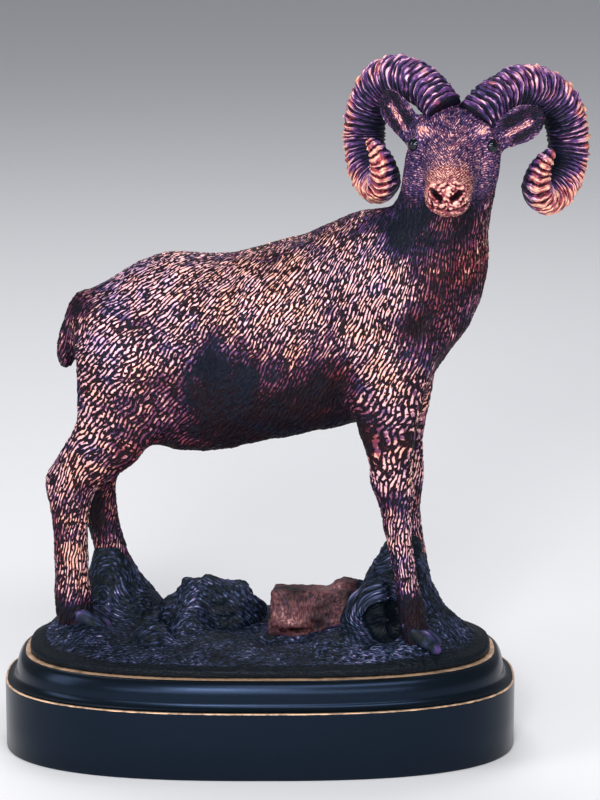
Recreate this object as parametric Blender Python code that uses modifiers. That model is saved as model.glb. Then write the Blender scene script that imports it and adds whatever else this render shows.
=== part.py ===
"""Ram statuette: one cast ram standing on rocky ground, glued to a moulded black plinth.

Units are metres and +Z is up. The origin is the centre of the plinth's underside, +X runs along the
plinth towards the ram's chest, and the ram turns its head to look along -Y.
"""

import math
import random

import bmesh
import bpy
import numpy as np
from mathutils import Matrix, Vector, noise

MM = 0.001

# Plinth
PLINTH_LENGTH = 170.0
PLINTH_WIDTH = 91.5
PLINTH_ROUNDNESS = 2.6  # exponent of the superellipse that both tiers follow in plan
PLINTH_WALL_HEIGHT = 22.8
PLINTH_MOULDING_HEIGHT = 9.1
PLINTH_MOULDING_INSET = 7.0
PLINTH_EDGE_BREAK = 0.5
PLINTH_CORNERS = 72
SEAT_GAP = 0.3

# Ground
GROUND_INSET = 1.3
GROUND_RIM_HEIGHT = 2.4
GROUND_CROWN = 2.0
GROUND_CORNERS = 60
GROUND_RINGS = 12
GROUND_ROUGHNESS = 1.0
GROUND_LUMP_LENGTH = 9.0

# Ram's stand on the plinth. The tables below give heights for a casting whose foot is at DRAWN_FOOT
DRAWN_FOOT = 32.2
RAM_YAW = math.radians(-10)
RAM_PLACE = (-4.0, 2.0)
LEG_SPREAD = 11.5

# Trunk slices across the ram: place along it, back, belly, half width
TRUNK = (
    (-58.0, 147.0, 136.0, 6.0),
    (-55.0, 149.5, 120.0, 11.0),
    (-50.0, 152.8, 108.0, 14.5),
    (-42.0, 158.0, 102.0, 16.5),
    (-33.0, 163.0, 100.0, 17.6),
    (-24.0, 165.0, 98.6, 18.4),
    (-15.0, 164.8, 98.0, 19.6),
    (-6.0, 164.2, 99.4, 21.8),
    (5.0, 167.5, 102.6, 23.2),
    (16.0, 170.7, 105.0, 22.4),
    (26.0, 175.0, 107.0, 19.6),
    (36.0, 180.2, 109.5, 17.0),
    (46.0, 182.0, 111.0, 15.6),
    (55.0, 178.0, 116.0, 14.0),
    (62.0, 170.0, 127.0, 11.0),
)

# Level slices of the neck: height, nape, throat, half width, shift towards the ram's left
NECK = (
    (124.0, 32.0, 61.0, 12.0, 0.0),
    (132.0, 32.0, 65.0, 14.0, 0.0),
    (140.0, 34.0, 71.0, 15.6, 0.0),
    (150.0, 37.0, 76.6, 16.4, 0.0),
    (160.0, 40.5, 79.2, 16.2, 0.0),
    (170.0, 44.5, 79.4, 15.4, 0.0),
    (178.0, 47.6, 79.6, 14.6, -0.5),
    (186.0, 50.0, 80.8, 14.0, -1.0),
    (193.0, 51.5, 82.6, 13.4, -2.0),
    (200.0, 52.6, 83.4, 12.4, -3.0),
    (207.0, 56.0, 81.0, 10.0, -3.5),
)

# Level slices of the legs: height, rear edge, front edge, half width
HIND_LEG = (
    (134.0, -55.0, -20.0, 8.0),
    (126.0, -55.2, -20.5, 8.6),
    (118.0, -54.8, -22.5, 8.8),
    (110.0, -54.8, -26.5, 8.4),
    (104.0, -57.2, -29.0, 7.6),
    (99.0, -60.5, -32.5, 6.8),
    (94.0, -64.0, -37.5, 6.0),
    (90.0, -66.4, -42.5, 5.3),
    (86.5, -66.6, -48.0, 5.0),
    (82.0, -65.2, -50.4, 4.8),
    (76.0, -64.2, -51.4, 4.6),
    (68.0, -63.6, -52.0, 4.5),
    (58.0, -63.6, -51.8, 4.7),
    (50.0, -63.7, -51.0, 5.1),
    (44.0, -63.4, -49.8, 5.2),
    (39.0, -62.2, -46.5, 5.3),
    (34.0, -61.0, -44.0, 5.6),
)
FAR_HIND_STEP = ((90.0, 0.6), (84.0, 2.4), (76.0, 4.2), (68.0, 5.7), (60.0, 8.0), (50.0, 11.0), (34.0, 14.0))
FORE_LEG = (
    (138.0, 36.0, 64.0, 7.0),
    (128.0, 37.5, 62.0, 8.0),
    (118.0, 37.0, 60.0, 8.0),
    (112.0, 37.8, 58.8, 7.6),
    (106.0, 39.8, 57.8, 7.0),
    (100.0, 41.8, 57.0, 6.4),
    (95.0, 42.5, 56.8, 6.1),
    (91.0, 43.0, 57.6, 6.0),
    (87.0, 44.8, 57.6, 5.6),
    (82.0, 46.4, 56.4, 4.8),
    (75.0, 47.8, 56.4, 4.4),
    (67.0, 49.6, 57.6, 4.3),
    (60.0, 51.0, 58.8, 4.6),
    (54.0, 51.6, 60.2, 5.0),
    (49.0, 52.2, 61.0, 5.0),
    (44.0, 53.0, 62.8, 5.2),
    (39.0, 53.6, 65.0, 5.5),
    (34.0, 53.6, 66.4, 5.8),
)
TAIL = (
    (151.0, -57.0, -49.0, 4.0),
    (144.5, -60.2, -53.0, 4.6),
    (138.0, -62.9, -56.4, 4.7),
    (132.0, -64.7, -58.0, 4.4),
    (127.0, -64.5, -58.2, 3.8),
    (124.0, -62.8, -59.6, 2.0),
)

# Muscles under the coat, in pairs: start, end, start radius, end radius, and how flat against the ribs
MUSCLES = (
    ((42.0, 8.0, 172.0), (58.0, 11.0, 145.0), 8.0, 11.0, 0.75),
    ((59.0, 10.5, 143.0), (45.0, 12.0, 122.0), 10.5, 8.5, 0.85),
    ((35.0, 10.0, 152.0), (41.0, 12.0, 126.0), 8.0, 7.5, 0.85),
    ((-46.0, 8.5, 145.0), (-32.0, 10.5, 123.0), 11.0, 15.0, 0.75),
    ((-33.0, 10.5, 125.0), (-48.0, 11.0, 110.0), 14.0, 9.0, 0.72),
    ((-24.0, 9.0, 155.0), (-41.0, 8.0, 149.0), 6.0, 7.0, 0.9),
    ((72.0, 4.5, 158.0), (58.0, 7.0, 134.0), 8.0, 7.5, 0.95),
)

# Head, in a frame of its own: forward to the nose, up to the poll, side to the ram's left ear
HEAD_PLACE = (62.4, -14.0, 203.0)
HEAD_TURN = math.radians(-96.5)  # the way the nose points, seen from above, from +X
HEAD_DROP = math.radians(11)
# Slices across the head: place along it, middle height, half height, half width
HEAD = (
    (-17.0, -3.0, 8.0, 9.0),
    (-12.0, -2.0, 11.6, 12.8),
    (-6.0, -1.4, 13.3, 13.8),
    (0.0, -1.5, 12.9, 12.6),
    (6.0, -3.0, 11.4, 10.6),
    (13.0, -4.8, 9.6, 8.6),
    (19.0, -6.0, 8.4, 7.6),
    (25.0, -7.0, 7.6, 7.5),
    (29.0, -7.6, 7.0, 7.6),
    (32.5, -8.0, 5.7, 6.4),
    (34.5, -8.2, 3.6, 4.2),
)
BROW_PLACE = (3.0, 5.4, 9.2)
BROW_RADIUS = 3.5
EYE_PLACE = (3.8, 1.2, 10.8)
EYE_RADIUS = 2.5

# Ears: side of the head, root, the way it points, the way it faces, all in the head's frame
EARS = (
    (-1, (-5.0, -0.5, 12.3), (-0.2, 0.8, 0.57), (0.62, -0.2, 0.75)),
    (1, (-5.0, 0.0, 11.5), (-0.15, 0.45, 0.88), (0.95, 0.1, 0.3)),
)
EAR_LENGTH = 18.5
EAR_HALF_WIDTH = 6.5
EAR_HALF_THICKNESS = 1.8
EAR_SHAPE = ((-0.15, 0.55), (0.1, 0.8), (0.35, 1.0), (0.6, 1.0), (0.82, 0.76), (1.0, 0.3))  # place, width

# Horns: one spiral, mirrored to the other side of the head
HORN_COIL_CENTRE = (-22.0, -7.9, 15.9)  # forward, up, side
HORN_LEFT_SHIFT = (0.0, -2.7, 3.3)  # the left horn's coil sits lower and further out than the right's
HORN_COIL_RADIUS = 26.2
HORN_COIL_DECAY = 1.264
HORN_START = math.radians(53.6)
HORN_SWEEP = math.radians(358.6)
HORN_SPREAD = 21.7
HORN_GATHER = 4.2
HORN_FLARE = math.radians(32.2)
HORN_ROLL = math.radians(0.5)
HORN_SQUASH = 1.116
HORN_BASE_RADIUS = 6.8
HORN_TIP_RADIUS = 1.5
HORN_TAPER = 4.0  # how late along its length the horn thins
HORN_RIDGES = 24
HORN_RIDGE_DEPTH = 0.8
HORN_SIDES = 12
HORN_FLATNESS = 0.88

# Mounds that the far legs stand against, as level slices in the ram's frame
FORE_MOUND = (
    (34.0, 26.0, 78.0, 20.0, 6.0),
    (38.5, 29.0, 73.5, 17.0, 6.0),
    (43.0, 32.0, 68.0, 14.5, 6.0),
    (48.0, 35.0, 63.5, 12.5, 7.0),
    (54.0, 38.0, 60.5, 11.0, 8.0),
    (60.0, 41.0, 58.5, 9.5, 9.0),
    (66.0, 44.5, 57.0, 7.5, 10.0),
    (70.0, 47.0, 56.0, 5.0, 11.0),
)
HIND_MOUND = (
    (34.0, -70.0, -22.0, 19.0, 7.0),
    (38.0, -66.0, -27.5, 16.0, 8.0),
    (43.0, -62.0, -32.5, 13.0, 9.0),
    (49.0, -58.0, -38.0, 10.5, 10.0),
    (55.0, -56.0, -42.0, 8.0, 11.0),
    (61.0, -54.5, -45.5, 5.5, 11.5),
)
# Rocks: middle, half sizes, turn about Z in degrees, seed
ROCKS = (
    ((-16.0, 10.0, 42.0), (19.0, 11.0, 12.0), 8.0, 3),
    ((-20.0, 2.0, 38.0), (12.0, 9.0, 9.0), 35.0, 9),
    ((20.0, 8.0, 41.0), (16.0, 13.0, 10.0), -6.0, 12),
    ((37.0, -11.0, 46.0), (11.0, 9.0, 12.0), 20.0, 5),
    ((30.0, 12.0, 42.0), (12.0, 9.0, 11.0), 60.0, 21),
    ((-35.0, -14.0, 37.0), (6.0, 5.0, 6.0), 10.0, 8),
)
ROCK_CORNERS = 26

# Surfaces
CASTING_VOXEL = 1.1
BODY_SMOOTHING = 26  # passes that blend the muscles into each other
DETAIL_SMOOTHING = 4  # passes over the thin and sharp parts
BODY_HEIGHTS = ((96.0, 0.0), (106.0, 1.0), (182.0, 1.0), (192.0, 0.0))  # height, share of the body's smoothing
BODY_REAR = ((-60.0, 0.0), (-52.0, 1.0))  # place along the plinth, share of the body's smoothing
FOOT_FLATTENING = 0.5  # how far up from its foot the casting is pressed flat
CASTING_DETAIL = 0.05  # share of the cast surface's triangles that is kept

BRONZE = (0.29, 0.13, 0.10, 1.0)
BLACK = (0.012, 0.012, 0.02, 1.0)

X, Y, Z = Vector((1, 0, 0)), Vector((0, 1, 0)), Vector((0, 0, 1))
CASTING_FOOT = PLINTH_WALL_HEIGHT + PLINTH_MOULDING_HEIGHT + SEAT_GAP
CASTING_LIFT = CASTING_FOOT - DRAWN_FOOT


def clear_scene():
    for obj in list(bpy.data.objects):
        bpy.data.objects.remove(obj)


def new_collection(name):
    collection = bpy.data.collections.new(name)
    bpy.context.scene.collection.children.link(collection)
    return collection


def new_object(name, mesh_data, collection):
    """A named object from a bmesh drawn in millimetres."""
    bmesh.ops.scale(mesh_data, vec=(MM, MM, MM), verts=mesh_data.verts)
    bmesh.ops.recalc_face_normals(mesh_data, faces=mesh_data.faces)
    mesh = bpy.data.meshes.new(name)
    mesh_data.to_mesh(mesh)
    mesh_data.free()
    obj = bpy.data.objects.new(name, mesh)
    collection.objects.link(obj)
    return obj


def material(name, colour, roughness, metallic):
    made = bpy.data.materials.new(name)
    made.use_nodes = True
    shader = made.node_tree.nodes["Principled BSDF"]
    shader.inputs["Base Color"].default_value = colour
    shader.inputs["Roughness"].default_value = roughness
    shader.inputs["Metallic"].default_value = metallic
    return made


def rounded(turn, roundness):
    """A point of the unit superellipse, as shares of its two half axes."""
    power = 2.0 / roundness
    c, s = math.cos(turn), math.sin(turn)
    return math.copysign(abs(c) ** power, c), math.copysign(abs(s) ** power, s)


def outline(centre, along, across, corners, roundness=2.2):
    """The corners of a rounded slice with these two half axes."""
    points = []
    for i in range(corners):
        c, s = rounded(2 * math.pi * i / corners, roundness)
        points.append(centre + along * c + across * s)
    return points


def loft(mesh, slices):
    """Skins closed slices that have the same number of corners, and caps both ends."""
    loops = [[mesh.verts.new(point) for point in points] for points in slices]
    for lower, upper in zip(loops, loops[1:]):
        for i in range(len(lower)):
            j = (i + 1) % len(lower)
            mesh.faces.new((lower[i], lower[j], upper[j], upper[i]))
    mesh.faces.new(list(reversed(loops[0])))
    mesh.faces.new(loops[-1])
    return [vertex for loop in loops for vertex in loop]


def ram_to_plinth():
    """The ram's frame, forward +X and left +Y, placed on the plinth."""
    return Matrix.Translation((*RAM_PLACE, CASTING_LIFT)) @ Matrix.Rotation(RAM_YAW, 4, "Z")


def head_to_plinth():
    """The head's frame, with columns forward, up and side."""
    level = Vector((math.cos(HEAD_TURN), math.sin(HEAD_TURN), 0))
    forward = level * math.cos(HEAD_DROP) - Z * math.sin(HEAD_DROP)
    up = level * math.sin(HEAD_DROP) + Z * math.cos(HEAD_DROP)
    side = up.cross(forward)
    frame = Matrix((forward, up, side)).transposed().to_4x4()
    return Matrix.Translation(Vector(HEAD_PLACE) + Z * CASTING_LIFT) @ frame


def level_slices(rows, side, spread, step=(), corners=20):
    """Slices of a leg, the tail or the neck, lying level."""
    slices = []
    for height, rear, front, half_width, *shift in rows:
        forward = stepped(height, step)
        middle = Vector(((rear + front) / 2 + forward, side * spread + sum(shift), height))
        slices.append(outline(middle, X * (front - rear) / 2, Y * half_width, corners))
    return slices


def stepped(height, step):
    """How far forward a leg has moved at this height, read between the rows of step."""
    for (high, at_high), (low, at_low) in zip(step, step[1:]):
        if low <= height <= high:
            return at_low + (at_high - at_low) * (height - low) / (high - low)
    return 0.0


def muscle(mesh, start, end, start_radius, end_radius, flatness, corners=16, slices=9):
    """A rounded bundle between two points, flattened towards the ram's middle plane."""
    start, end = Vector(start), Vector(end)
    along = (end - start).normalized()
    across = (Y - along * along.dot(Y)).normalized()
    other = along.cross(across)
    points = []
    for i in range(slices):
        share = (i + 0.5) / slices
        bulge = math.sin(math.pi * share) ** 0.5
        radius = (start_radius + (end_radius - start_radius) * share) * bulge
        reach = start - along * start_radius * 0.7
        tip = end + along * end_radius * 0.7
        centre = reach + (tip - reach) * share
        points.append(outline(centre, other * radius, across * radius * flatness, corners))
    loft(mesh, points)


def ball(mesh, centre, radius, detail=16):
    made = bmesh.ops.create_uvsphere(
        mesh, u_segments=detail, v_segments=detail // 2, radius=radius, matrix=Matrix.Translation(centre)
    )
    return made["verts"]


def place(mesh, vertices, matrix):
    bmesh.ops.transform(mesh, matrix=matrix, verts=vertices)


def add_body(mesh):
    """Trunk, neck, tail, legs and their muscles, and the mounds at the far legs."""
    before = set(mesh.verts)
    slices = []
    for x, back, belly, half_width in TRUNK:
        middle = Vector((x, 0, (back + belly) / 2))
        slices.append(outline(middle, Z * (back - belly) / 2, Y * half_width, 28, 2.3))
    loft(mesh, slices)
    loft(mesh, level_slices(NECK, 0, 0, corners=28))
    loft(mesh, level_slices(TAIL, 0, 0))
    loft(mesh, level_slices(FORE_MOUND, 0, 0))
    loft(mesh, level_slices(HIND_MOUND, 0, 0))
    for side in (-1, 1):
        step = FAR_HIND_STEP if side > 0 else ()
        loft(mesh, level_slices(HIND_LEG, side, LEG_SPREAD, step))
        loft(mesh, level_slices(FORE_LEG, side, LEG_SPREAD))
        for start, end, *rest in MUSCLES:
            mirrored = [(x, side * y, z) for x, y, z in (start, end)]
            muscle(mesh, *mirrored, *rest)
    place(mesh, [v for v in mesh.verts if v not in before], ram_to_plinth())


def add_ear(mesh, side, root, points, faces):
    """A thick leaf that narrows to its root and its tip."""
    root, along, faces = (Vector((x, y, z * side)) for x, y, z in (root, points, faces))
    along.normalize()
    faces = (faces - along * along.dot(faces)).normalized()
    across = along.cross(faces)
    slices = []
    for share, width in EAR_SHAPE:
        centre = root + along * EAR_LENGTH * share
        thickness = EAR_HALF_THICKNESS * (1.15 - 0.45 * share)
        slices.append(outline(centre, across * EAR_HALF_WIDTH * width, faces * thickness, 14))
    loft(mesh, slices)


def add_head(mesh):
    """Skull and muzzle, brows, eyes and ears."""
    before = set(mesh.verts)
    slices = []
    for x, middle, half_height, half_width in HEAD:
        slices.append(outline(Vector((x, middle, 0)), Y * half_height, Z * half_width, 24, 2.3))
    loft(mesh, slices)
    for side, *ear in EARS:
        for (x, y, z), radius in ((BROW_PLACE, BROW_RADIUS), (EYE_PLACE, EYE_RADIUS)):
            ball(mesh, (x, y, side * z), radius)
        add_ear(mesh, side, *ear)
    place(mesh, [v for v in mesh.verts if v not in before], head_to_plinth())


def ground_height(x, y, share):
    """Height of the soil at a place, where share runs from 0 at the middle to 1 at the rim."""
    lump = noise.noise(Vector((x, y, 0)) / GROUND_LUMP_LENGTH)
    fade = 1 - share**4
    return GROUND_RIM_HEIGHT + fade * (GROUND_CROWN + GROUND_ROUGHNESS * lump)


def add_ground(mesh):
    """Soil that covers the plinth's top, with rocks on it."""
    inset = PLINTH_MOULDING_INSET + GROUND_INSET
    half_length = PLINTH_LENGTH / 2 - inset
    half_width = PLINTH_WIDTH / 2 - inset
    slices = [outline(Z * CASTING_FOOT, X * half_length, Y * half_width, GROUND_CORNERS, PLINTH_ROUNDNESS)]
    for i in range(GROUND_RINGS):
        share = 1 - i / GROUND_RINGS
        loop = outline(Vector(), X * half_length * share, Y * half_width * share, GROUND_CORNERS, PLINTH_ROUNDNESS)
        slices.append([Vector((p.x, p.y, CASTING_FOOT + ground_height(p.x, p.y, share))) for p in loop])
    loft(mesh, slices)
    for centre, half_sizes, turn, seed in ROCKS:
        add_rock(mesh, centre, half_sizes, turn, seed)


def add_rock(mesh, centre, half_sizes, turn, seed):
    """The hull of points scattered on an ellipsoid, which gives a rock its flat faces."""
    chance = random.Random(seed)
    rock = bmesh.new()
    for _ in range(ROCK_CORNERS):
        direction = Vector([chance.gauss(0, 1) for _ in range(3)]).normalized()
        rock.verts.new([d * half for d, half in zip(direction, half_sizes)])
    bmesh.ops.convex_hull(rock, input=rock.verts)
    loose = [v for v in rock.verts if not v.link_faces]
    bmesh.ops.delete(rock, geom=loose, context="VERTS")
    placed = Matrix.Translation(Vector(centre) + Z * CASTING_LIFT) @ Matrix.Rotation(math.radians(turn), 4, "Z")
    bmesh.ops.transform(rock, matrix=placed, verts=rock.verts)
    data = bpy.data.meshes.new("rock")
    rock.to_mesh(data)
    rock.free()
    mesh.from_mesh(data)
    bpy.data.meshes.remove(data)


def horn_centre(share):
    """A point of the horn's middle line in the head's frame, from 0 at the root to 1 at the tip."""
    normal = Vector((math.sin(HORN_FLARE), math.sin(HORN_ROLL), math.cos(HORN_FLARE) * math.cos(HORN_ROLL)))
    normal.normalize()
    forward = (X - normal * normal.x).normalized()
    up = normal.cross(forward)
    if up.y < 0:
        up.negate()
    turn = HORN_START + HORN_SWEEP * share
    radius = HORN_COIL_RADIUS * math.exp(-HORN_COIL_DECAY * share)
    spread = HORN_SPREAD * share - HORN_GATHER * share**2
    centre = Vector(HORN_COIL_CENTRE) + normal * spread
    return centre + forward * radius * math.cos(turn) * HORN_SQUASH + up * radius * math.sin(turn)


def horn_radius(share):
    """Mean radius of the horn, without its ridges."""
    return HORN_TIP_RADIUS + (HORN_BASE_RADIUS - HORN_TIP_RADIUS) * (1 - share**HORN_TAPER)


def horn(name, side, collection):
    """A curled horn whose growth ridges run round it."""
    steps = HORN_RIDGES * 2
    shift = Vector(HORN_LEFT_SHIFT) if side > 0 else Vector()
    slices = []
    across = Vector((0, 0, 1))
    for i in range(-2, steps + 1):
        share = i / steps
        centre = horn_centre(share) + shift
        tangent = (horn_centre(share + 0.005) - horn_centre(share - 0.005)).normalized()
        across = (across - tangent * tangent.dot(across)).normalized()
        outward = tangent.cross(across)
        ridge = HORN_RIDGE_DEPTH * (i % 2) * (1 - 0.5 * share)
        radius = horn_radius(max(share, 0)) + ridge
        points = outline(centre, outward * radius, across * radius * HORN_FLATNESS, HORN_SIDES)
        slices.append([Vector((p.x, p.y, side * p.z)) for p in points])
    mesh = bmesh.new()
    loft(mesh, slices)
    place(mesh, mesh.verts, head_to_plinth())
    return new_object(name, mesh, collection)


def smoothed(points, edges, passes, share):
    """Moves each point towards the mean of its neighbours, by half the way times its share."""
    for _ in range(passes):
        total = np.zeros_like(points)
        count = np.zeros(len(points))
        for near, far in (edges.T, edges.T[::-1]):
            np.add.at(total, near, points[far])
            np.add.at(count, near, 1)
        points = points + (total / count[:, None] - points) * 0.5 * share[:, None]
    return points


def one_skin(obj):
    """Replaces overlapping pieces by the one surface round them all, with blended muscles and a flat foot."""
    skin = obj.modifiers.new("one skin", "REMESH")
    skin.mode = "VOXEL"
    skin.voxel_size = CASTING_VOXEL * MM
    made = bpy.data.meshes.new_from_object(obj.evaluated_get(bpy.context.evaluated_depsgraph_get()))
    obj.modifiers.clear()
    points = np.empty(len(made.vertices) * 3)
    made.vertices.foreach_get("co", points)
    points = points.reshape(-1, 3)
    edges = np.empty(len(made.edges) * 2, dtype=int)
    made.edges.foreach_get("vertices", edges)
    body = np.interp(points[:, 2] / MM - CASTING_LIFT, *zip(*BODY_HEIGHTS))
    body *= np.interp(points[:, 0] / MM, *zip(*BODY_REAR))
    edges = edges.reshape(-1, 2)
    points = smoothed(points, edges, BODY_SMOOTHING, body)
    points = smoothed(points, edges, DETAIL_SMOOTHING, np.ones(len(points)))
    foot = points[:, 2] < (CASTING_FOOT + FOOT_FLATTENING) * MM
    points[foot, 2] = CASTING_FOOT * MM
    made.vertices.foreach_set("co", points.ravel())
    made.update()
    obj.data = made


def make_casting(collection, cutters):
    """The ram and the ground as one cast surface, with both horns joined to it."""
    mesh = bmesh.new()
    add_body(mesh)
    add_head(mesh)
    add_ground(mesh)
    casting = new_object("ram_casting", mesh, collection)
    one_skin(casting)
    thin = casting.modifiers.new("fewer faces", "DECIMATE")
    thin.ratio = CASTING_DETAIL
    for side, name in ((-1, "horn_right"), (1, "horn_left")):
        guide = horn(name, side, cutters)
        guide.hide_render = True
        guide.display_type = "WIRE"
        join = casting.modifiers.new(name, "BOOLEAN")
        join.operation = "UNION"
        join.object = guide
    casting.data.materials.append(material("antique bronze", BRONZE, 0.45, 0.7))
    return casting


def plinth_profile():
    """Inset and height up the plinth's side: wall, ledge, then a moulding that curls in to the top."""
    cove = PLINTH_MOULDING_HEIGHT * 0.3
    swell = PLINTH_MOULDING_HEIGHT - cove
    wall = PLINTH_WALL_HEIGHT
    inset = PLINTH_MOULDING_INSET
    profile = [(PLINTH_EDGE_BREAK, 0.0), (0.0, PLINTH_EDGE_BREAK)]
    profile += [(0.0, wall - PLINTH_EDGE_BREAK), (PLINTH_EDGE_BREAK, wall)]
    for i in range(1, 4):
        turn = math.pi / 2 * i / 3
        profile.append((inset * (0.15 + 0.4 * math.sin(turn)), wall + cove * (1 - math.cos(turn))))
    for i in range(1, 6):
        turn = math.pi / 2 * i / 5
        profile.append((inset * (0.55 + 0.45 * (1 - math.cos(turn))), wall + cove + swell * math.sin(turn)))
    return profile


def make_plinth(collection):
    mesh = bmesh.new()
    slices = []
    for inset, height in plinth_profile():
        along = X * (PLINTH_LENGTH / 2 - inset)
        across = Y * (PLINTH_WIDTH / 2 - inset)
        slices.append(outline(Z * height, along, across, PLINTH_CORNERS, PLINTH_ROUNDNESS))
    loft(mesh, slices)
    plinth = new_object("plinth", mesh, collection)
    plinth.data.materials.append(material("black lacquer", BLACK, 0.35, 0.0))
    return plinth


def main():
    clear_scene()
    parts = new_collection("ram_statue")
    cutters = new_collection("cutters")
    make_plinth(parts)
    make_casting(parts, cutters)


main()
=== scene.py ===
"""Looks of the ram statuette: its carved coat, face, curled horns, rocky ground and lacquered plinth.

Shapes are drawn in millimetres and finished in metres. +X runs along the plinth towards the ram's chest,
+Z is up, and the ram turns its head to look along -Y.
"""

import math
import random

import bmesh
import bpy
import numpy as np
from mathutils import Matrix, Vector, noise
from mathutils.kdtree import KDTree


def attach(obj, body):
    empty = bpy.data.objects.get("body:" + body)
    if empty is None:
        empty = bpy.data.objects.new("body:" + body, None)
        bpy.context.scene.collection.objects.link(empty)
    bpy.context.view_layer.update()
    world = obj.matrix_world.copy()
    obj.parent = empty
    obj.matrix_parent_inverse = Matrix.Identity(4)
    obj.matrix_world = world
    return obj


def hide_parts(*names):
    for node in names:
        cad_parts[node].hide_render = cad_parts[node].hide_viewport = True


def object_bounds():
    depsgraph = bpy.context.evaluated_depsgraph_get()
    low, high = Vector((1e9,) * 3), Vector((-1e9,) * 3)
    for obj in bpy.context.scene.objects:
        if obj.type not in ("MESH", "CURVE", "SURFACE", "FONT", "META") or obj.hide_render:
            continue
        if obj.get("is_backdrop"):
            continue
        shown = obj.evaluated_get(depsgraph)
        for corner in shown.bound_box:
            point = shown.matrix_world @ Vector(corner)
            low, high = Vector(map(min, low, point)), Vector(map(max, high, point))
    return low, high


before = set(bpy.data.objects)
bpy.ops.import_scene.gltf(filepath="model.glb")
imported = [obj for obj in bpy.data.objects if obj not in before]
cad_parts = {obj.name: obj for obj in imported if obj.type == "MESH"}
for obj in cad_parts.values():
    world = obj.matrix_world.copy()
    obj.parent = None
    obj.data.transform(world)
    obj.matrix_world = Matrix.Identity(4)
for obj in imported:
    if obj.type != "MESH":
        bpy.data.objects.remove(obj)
CAD_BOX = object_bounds()

MM = 0.001
X, Y, Z = Vector((1, 0, 0)), Vector((0, 1, 0)), Vector((0, 0, 1))

# Plinth
PLINTH_LENGTH = 170.0
PLINTH_WIDTH = 91.5
PLINTH_ROUNDNESS = 2.6  # exponent of the superellipse that both tiers follow in plan
PLINTH_WALL_HEIGHT = 22.8
PLINTH_MOULDING_HEIGHT = 9.1
PLINTH_MOULDING_INSET = 7.0
PLINTH_EDGE_BREAK = 0.5
PLINTH_CORNERS = 160
PLINTH_TOP = PLINTH_WALL_HEIGHT + PLINTH_MOULDING_HEIGHT
# Rows of the plinth's profile that are gilded
GILT_HEIGHTS = (PLINTH_WALL_HEIGHT - 0.12, PLINTH_WALL_HEIGHT, PLINTH_TOP)
SEAT_GAP = 0.3
FOOT = PLINTH_TOP + SEAT_GAP

# Ground
GROUND_INSET = 1.3
GROUND_RIM_HEIGHT = 2.4
GROUND_CROWN = 2.0
GROUND_CORNERS = 120
GROUND_RINGS = 24
GROUND_ROUGHNESS = 1.0
GROUND_LUMP_LENGTH = 9.0

# Ram's stand on the plinth
RAM_YAW = math.radians(-10)
RAM_PLACE = (-4.0, 2.0)
LEG_SPREAD = 11.5

# Trunk slices across the ram: place along it, back, belly, half width
TRUNK = (
    (-58.0, 147.0, 136.0, 6.0),
    (-55.0, 149.5, 120.0, 11.0),
    (-50.0, 152.8, 108.0, 14.5),
    (-42.0, 158.0, 102.0, 16.5),
    (-33.0, 163.0, 100.0, 17.6),
    (-24.0, 165.0, 98.6, 18.4),
    (-15.0, 164.8, 98.0, 19.6),
    (-6.0, 164.2, 99.4, 21.8),
    (5.0, 167.5, 102.6, 23.2),
    (16.0, 170.7, 105.0, 22.4),
    (26.0, 175.0, 107.0, 19.6),
    (36.0, 180.2, 109.5, 17.0),
    (46.0, 182.0, 111.0, 15.6),
    (55.0, 178.0, 116.0, 14.0),
    (62.0, 170.0, 127.0, 11.0),
)

# Level slices of the neck: height, nape, throat, half width, shift towards the ram's left
NECK = (
    (124.0, 32.0, 61.0, 12.0, 0.0),
    (132.0, 32.0, 65.0, 14.0, 0.0),
    (140.0, 34.0, 71.0, 15.6, 0.0),
    (150.0, 37.0, 76.6, 16.4, 0.0),
    (160.0, 40.5, 79.2, 16.2, 0.0),
    (170.0, 44.5, 79.4, 15.4, 0.0),
    (178.0, 47.6, 79.6, 14.6, -0.5),
    (186.0, 50.0, 80.8, 14.0, -1.0),
    (193.0, 51.5, 82.6, 13.4, -2.0),
    (200.0, 52.6, 83.4, 12.4, -3.0),
    (207.0, 56.0, 81.0, 10.0, -3.5),
)

# Level slices of the legs: height, rear edge, front edge, half width
HIND_LEG = (
    (134.0, -55.0, -20.0, 8.0),
    (126.0, -55.2, -20.5, 8.6),
    (118.0, -54.8, -22.5, 8.8),
    (110.0, -54.8, -26.5, 8.4),
    (104.0, -57.2, -29.0, 7.6),
    (99.0, -60.5, -32.5, 6.8),
    (94.0, -64.0, -37.5, 6.0),
    (90.0, -66.4, -42.5, 5.3),
    (86.5, -66.6, -48.0, 5.0),
    (82.0, -65.2, -50.4, 4.8),
    (76.0, -64.2, -51.4, 4.6),
    (68.0, -63.6, -52.0, 4.5),
    (58.0, -63.6, -51.8, 4.7),
    (50.0, -63.7, -51.0, 5.1),
    (44.0, -63.4, -50.4, 5.2),
    (40.0, -62.4, -49.6, 5.4),
    (37.0, -61.8, -51.0, 5.2),
    (34.0, -61.4, -52.0, 5.0),
)
FAR_HIND_STEP = ((90.0, 0.6), (84.0, 2.4), (76.0, 4.2), (68.0, 5.7), (60.0, 8.0), (50.0, 11.0), (34.0, 14.0))
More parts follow.
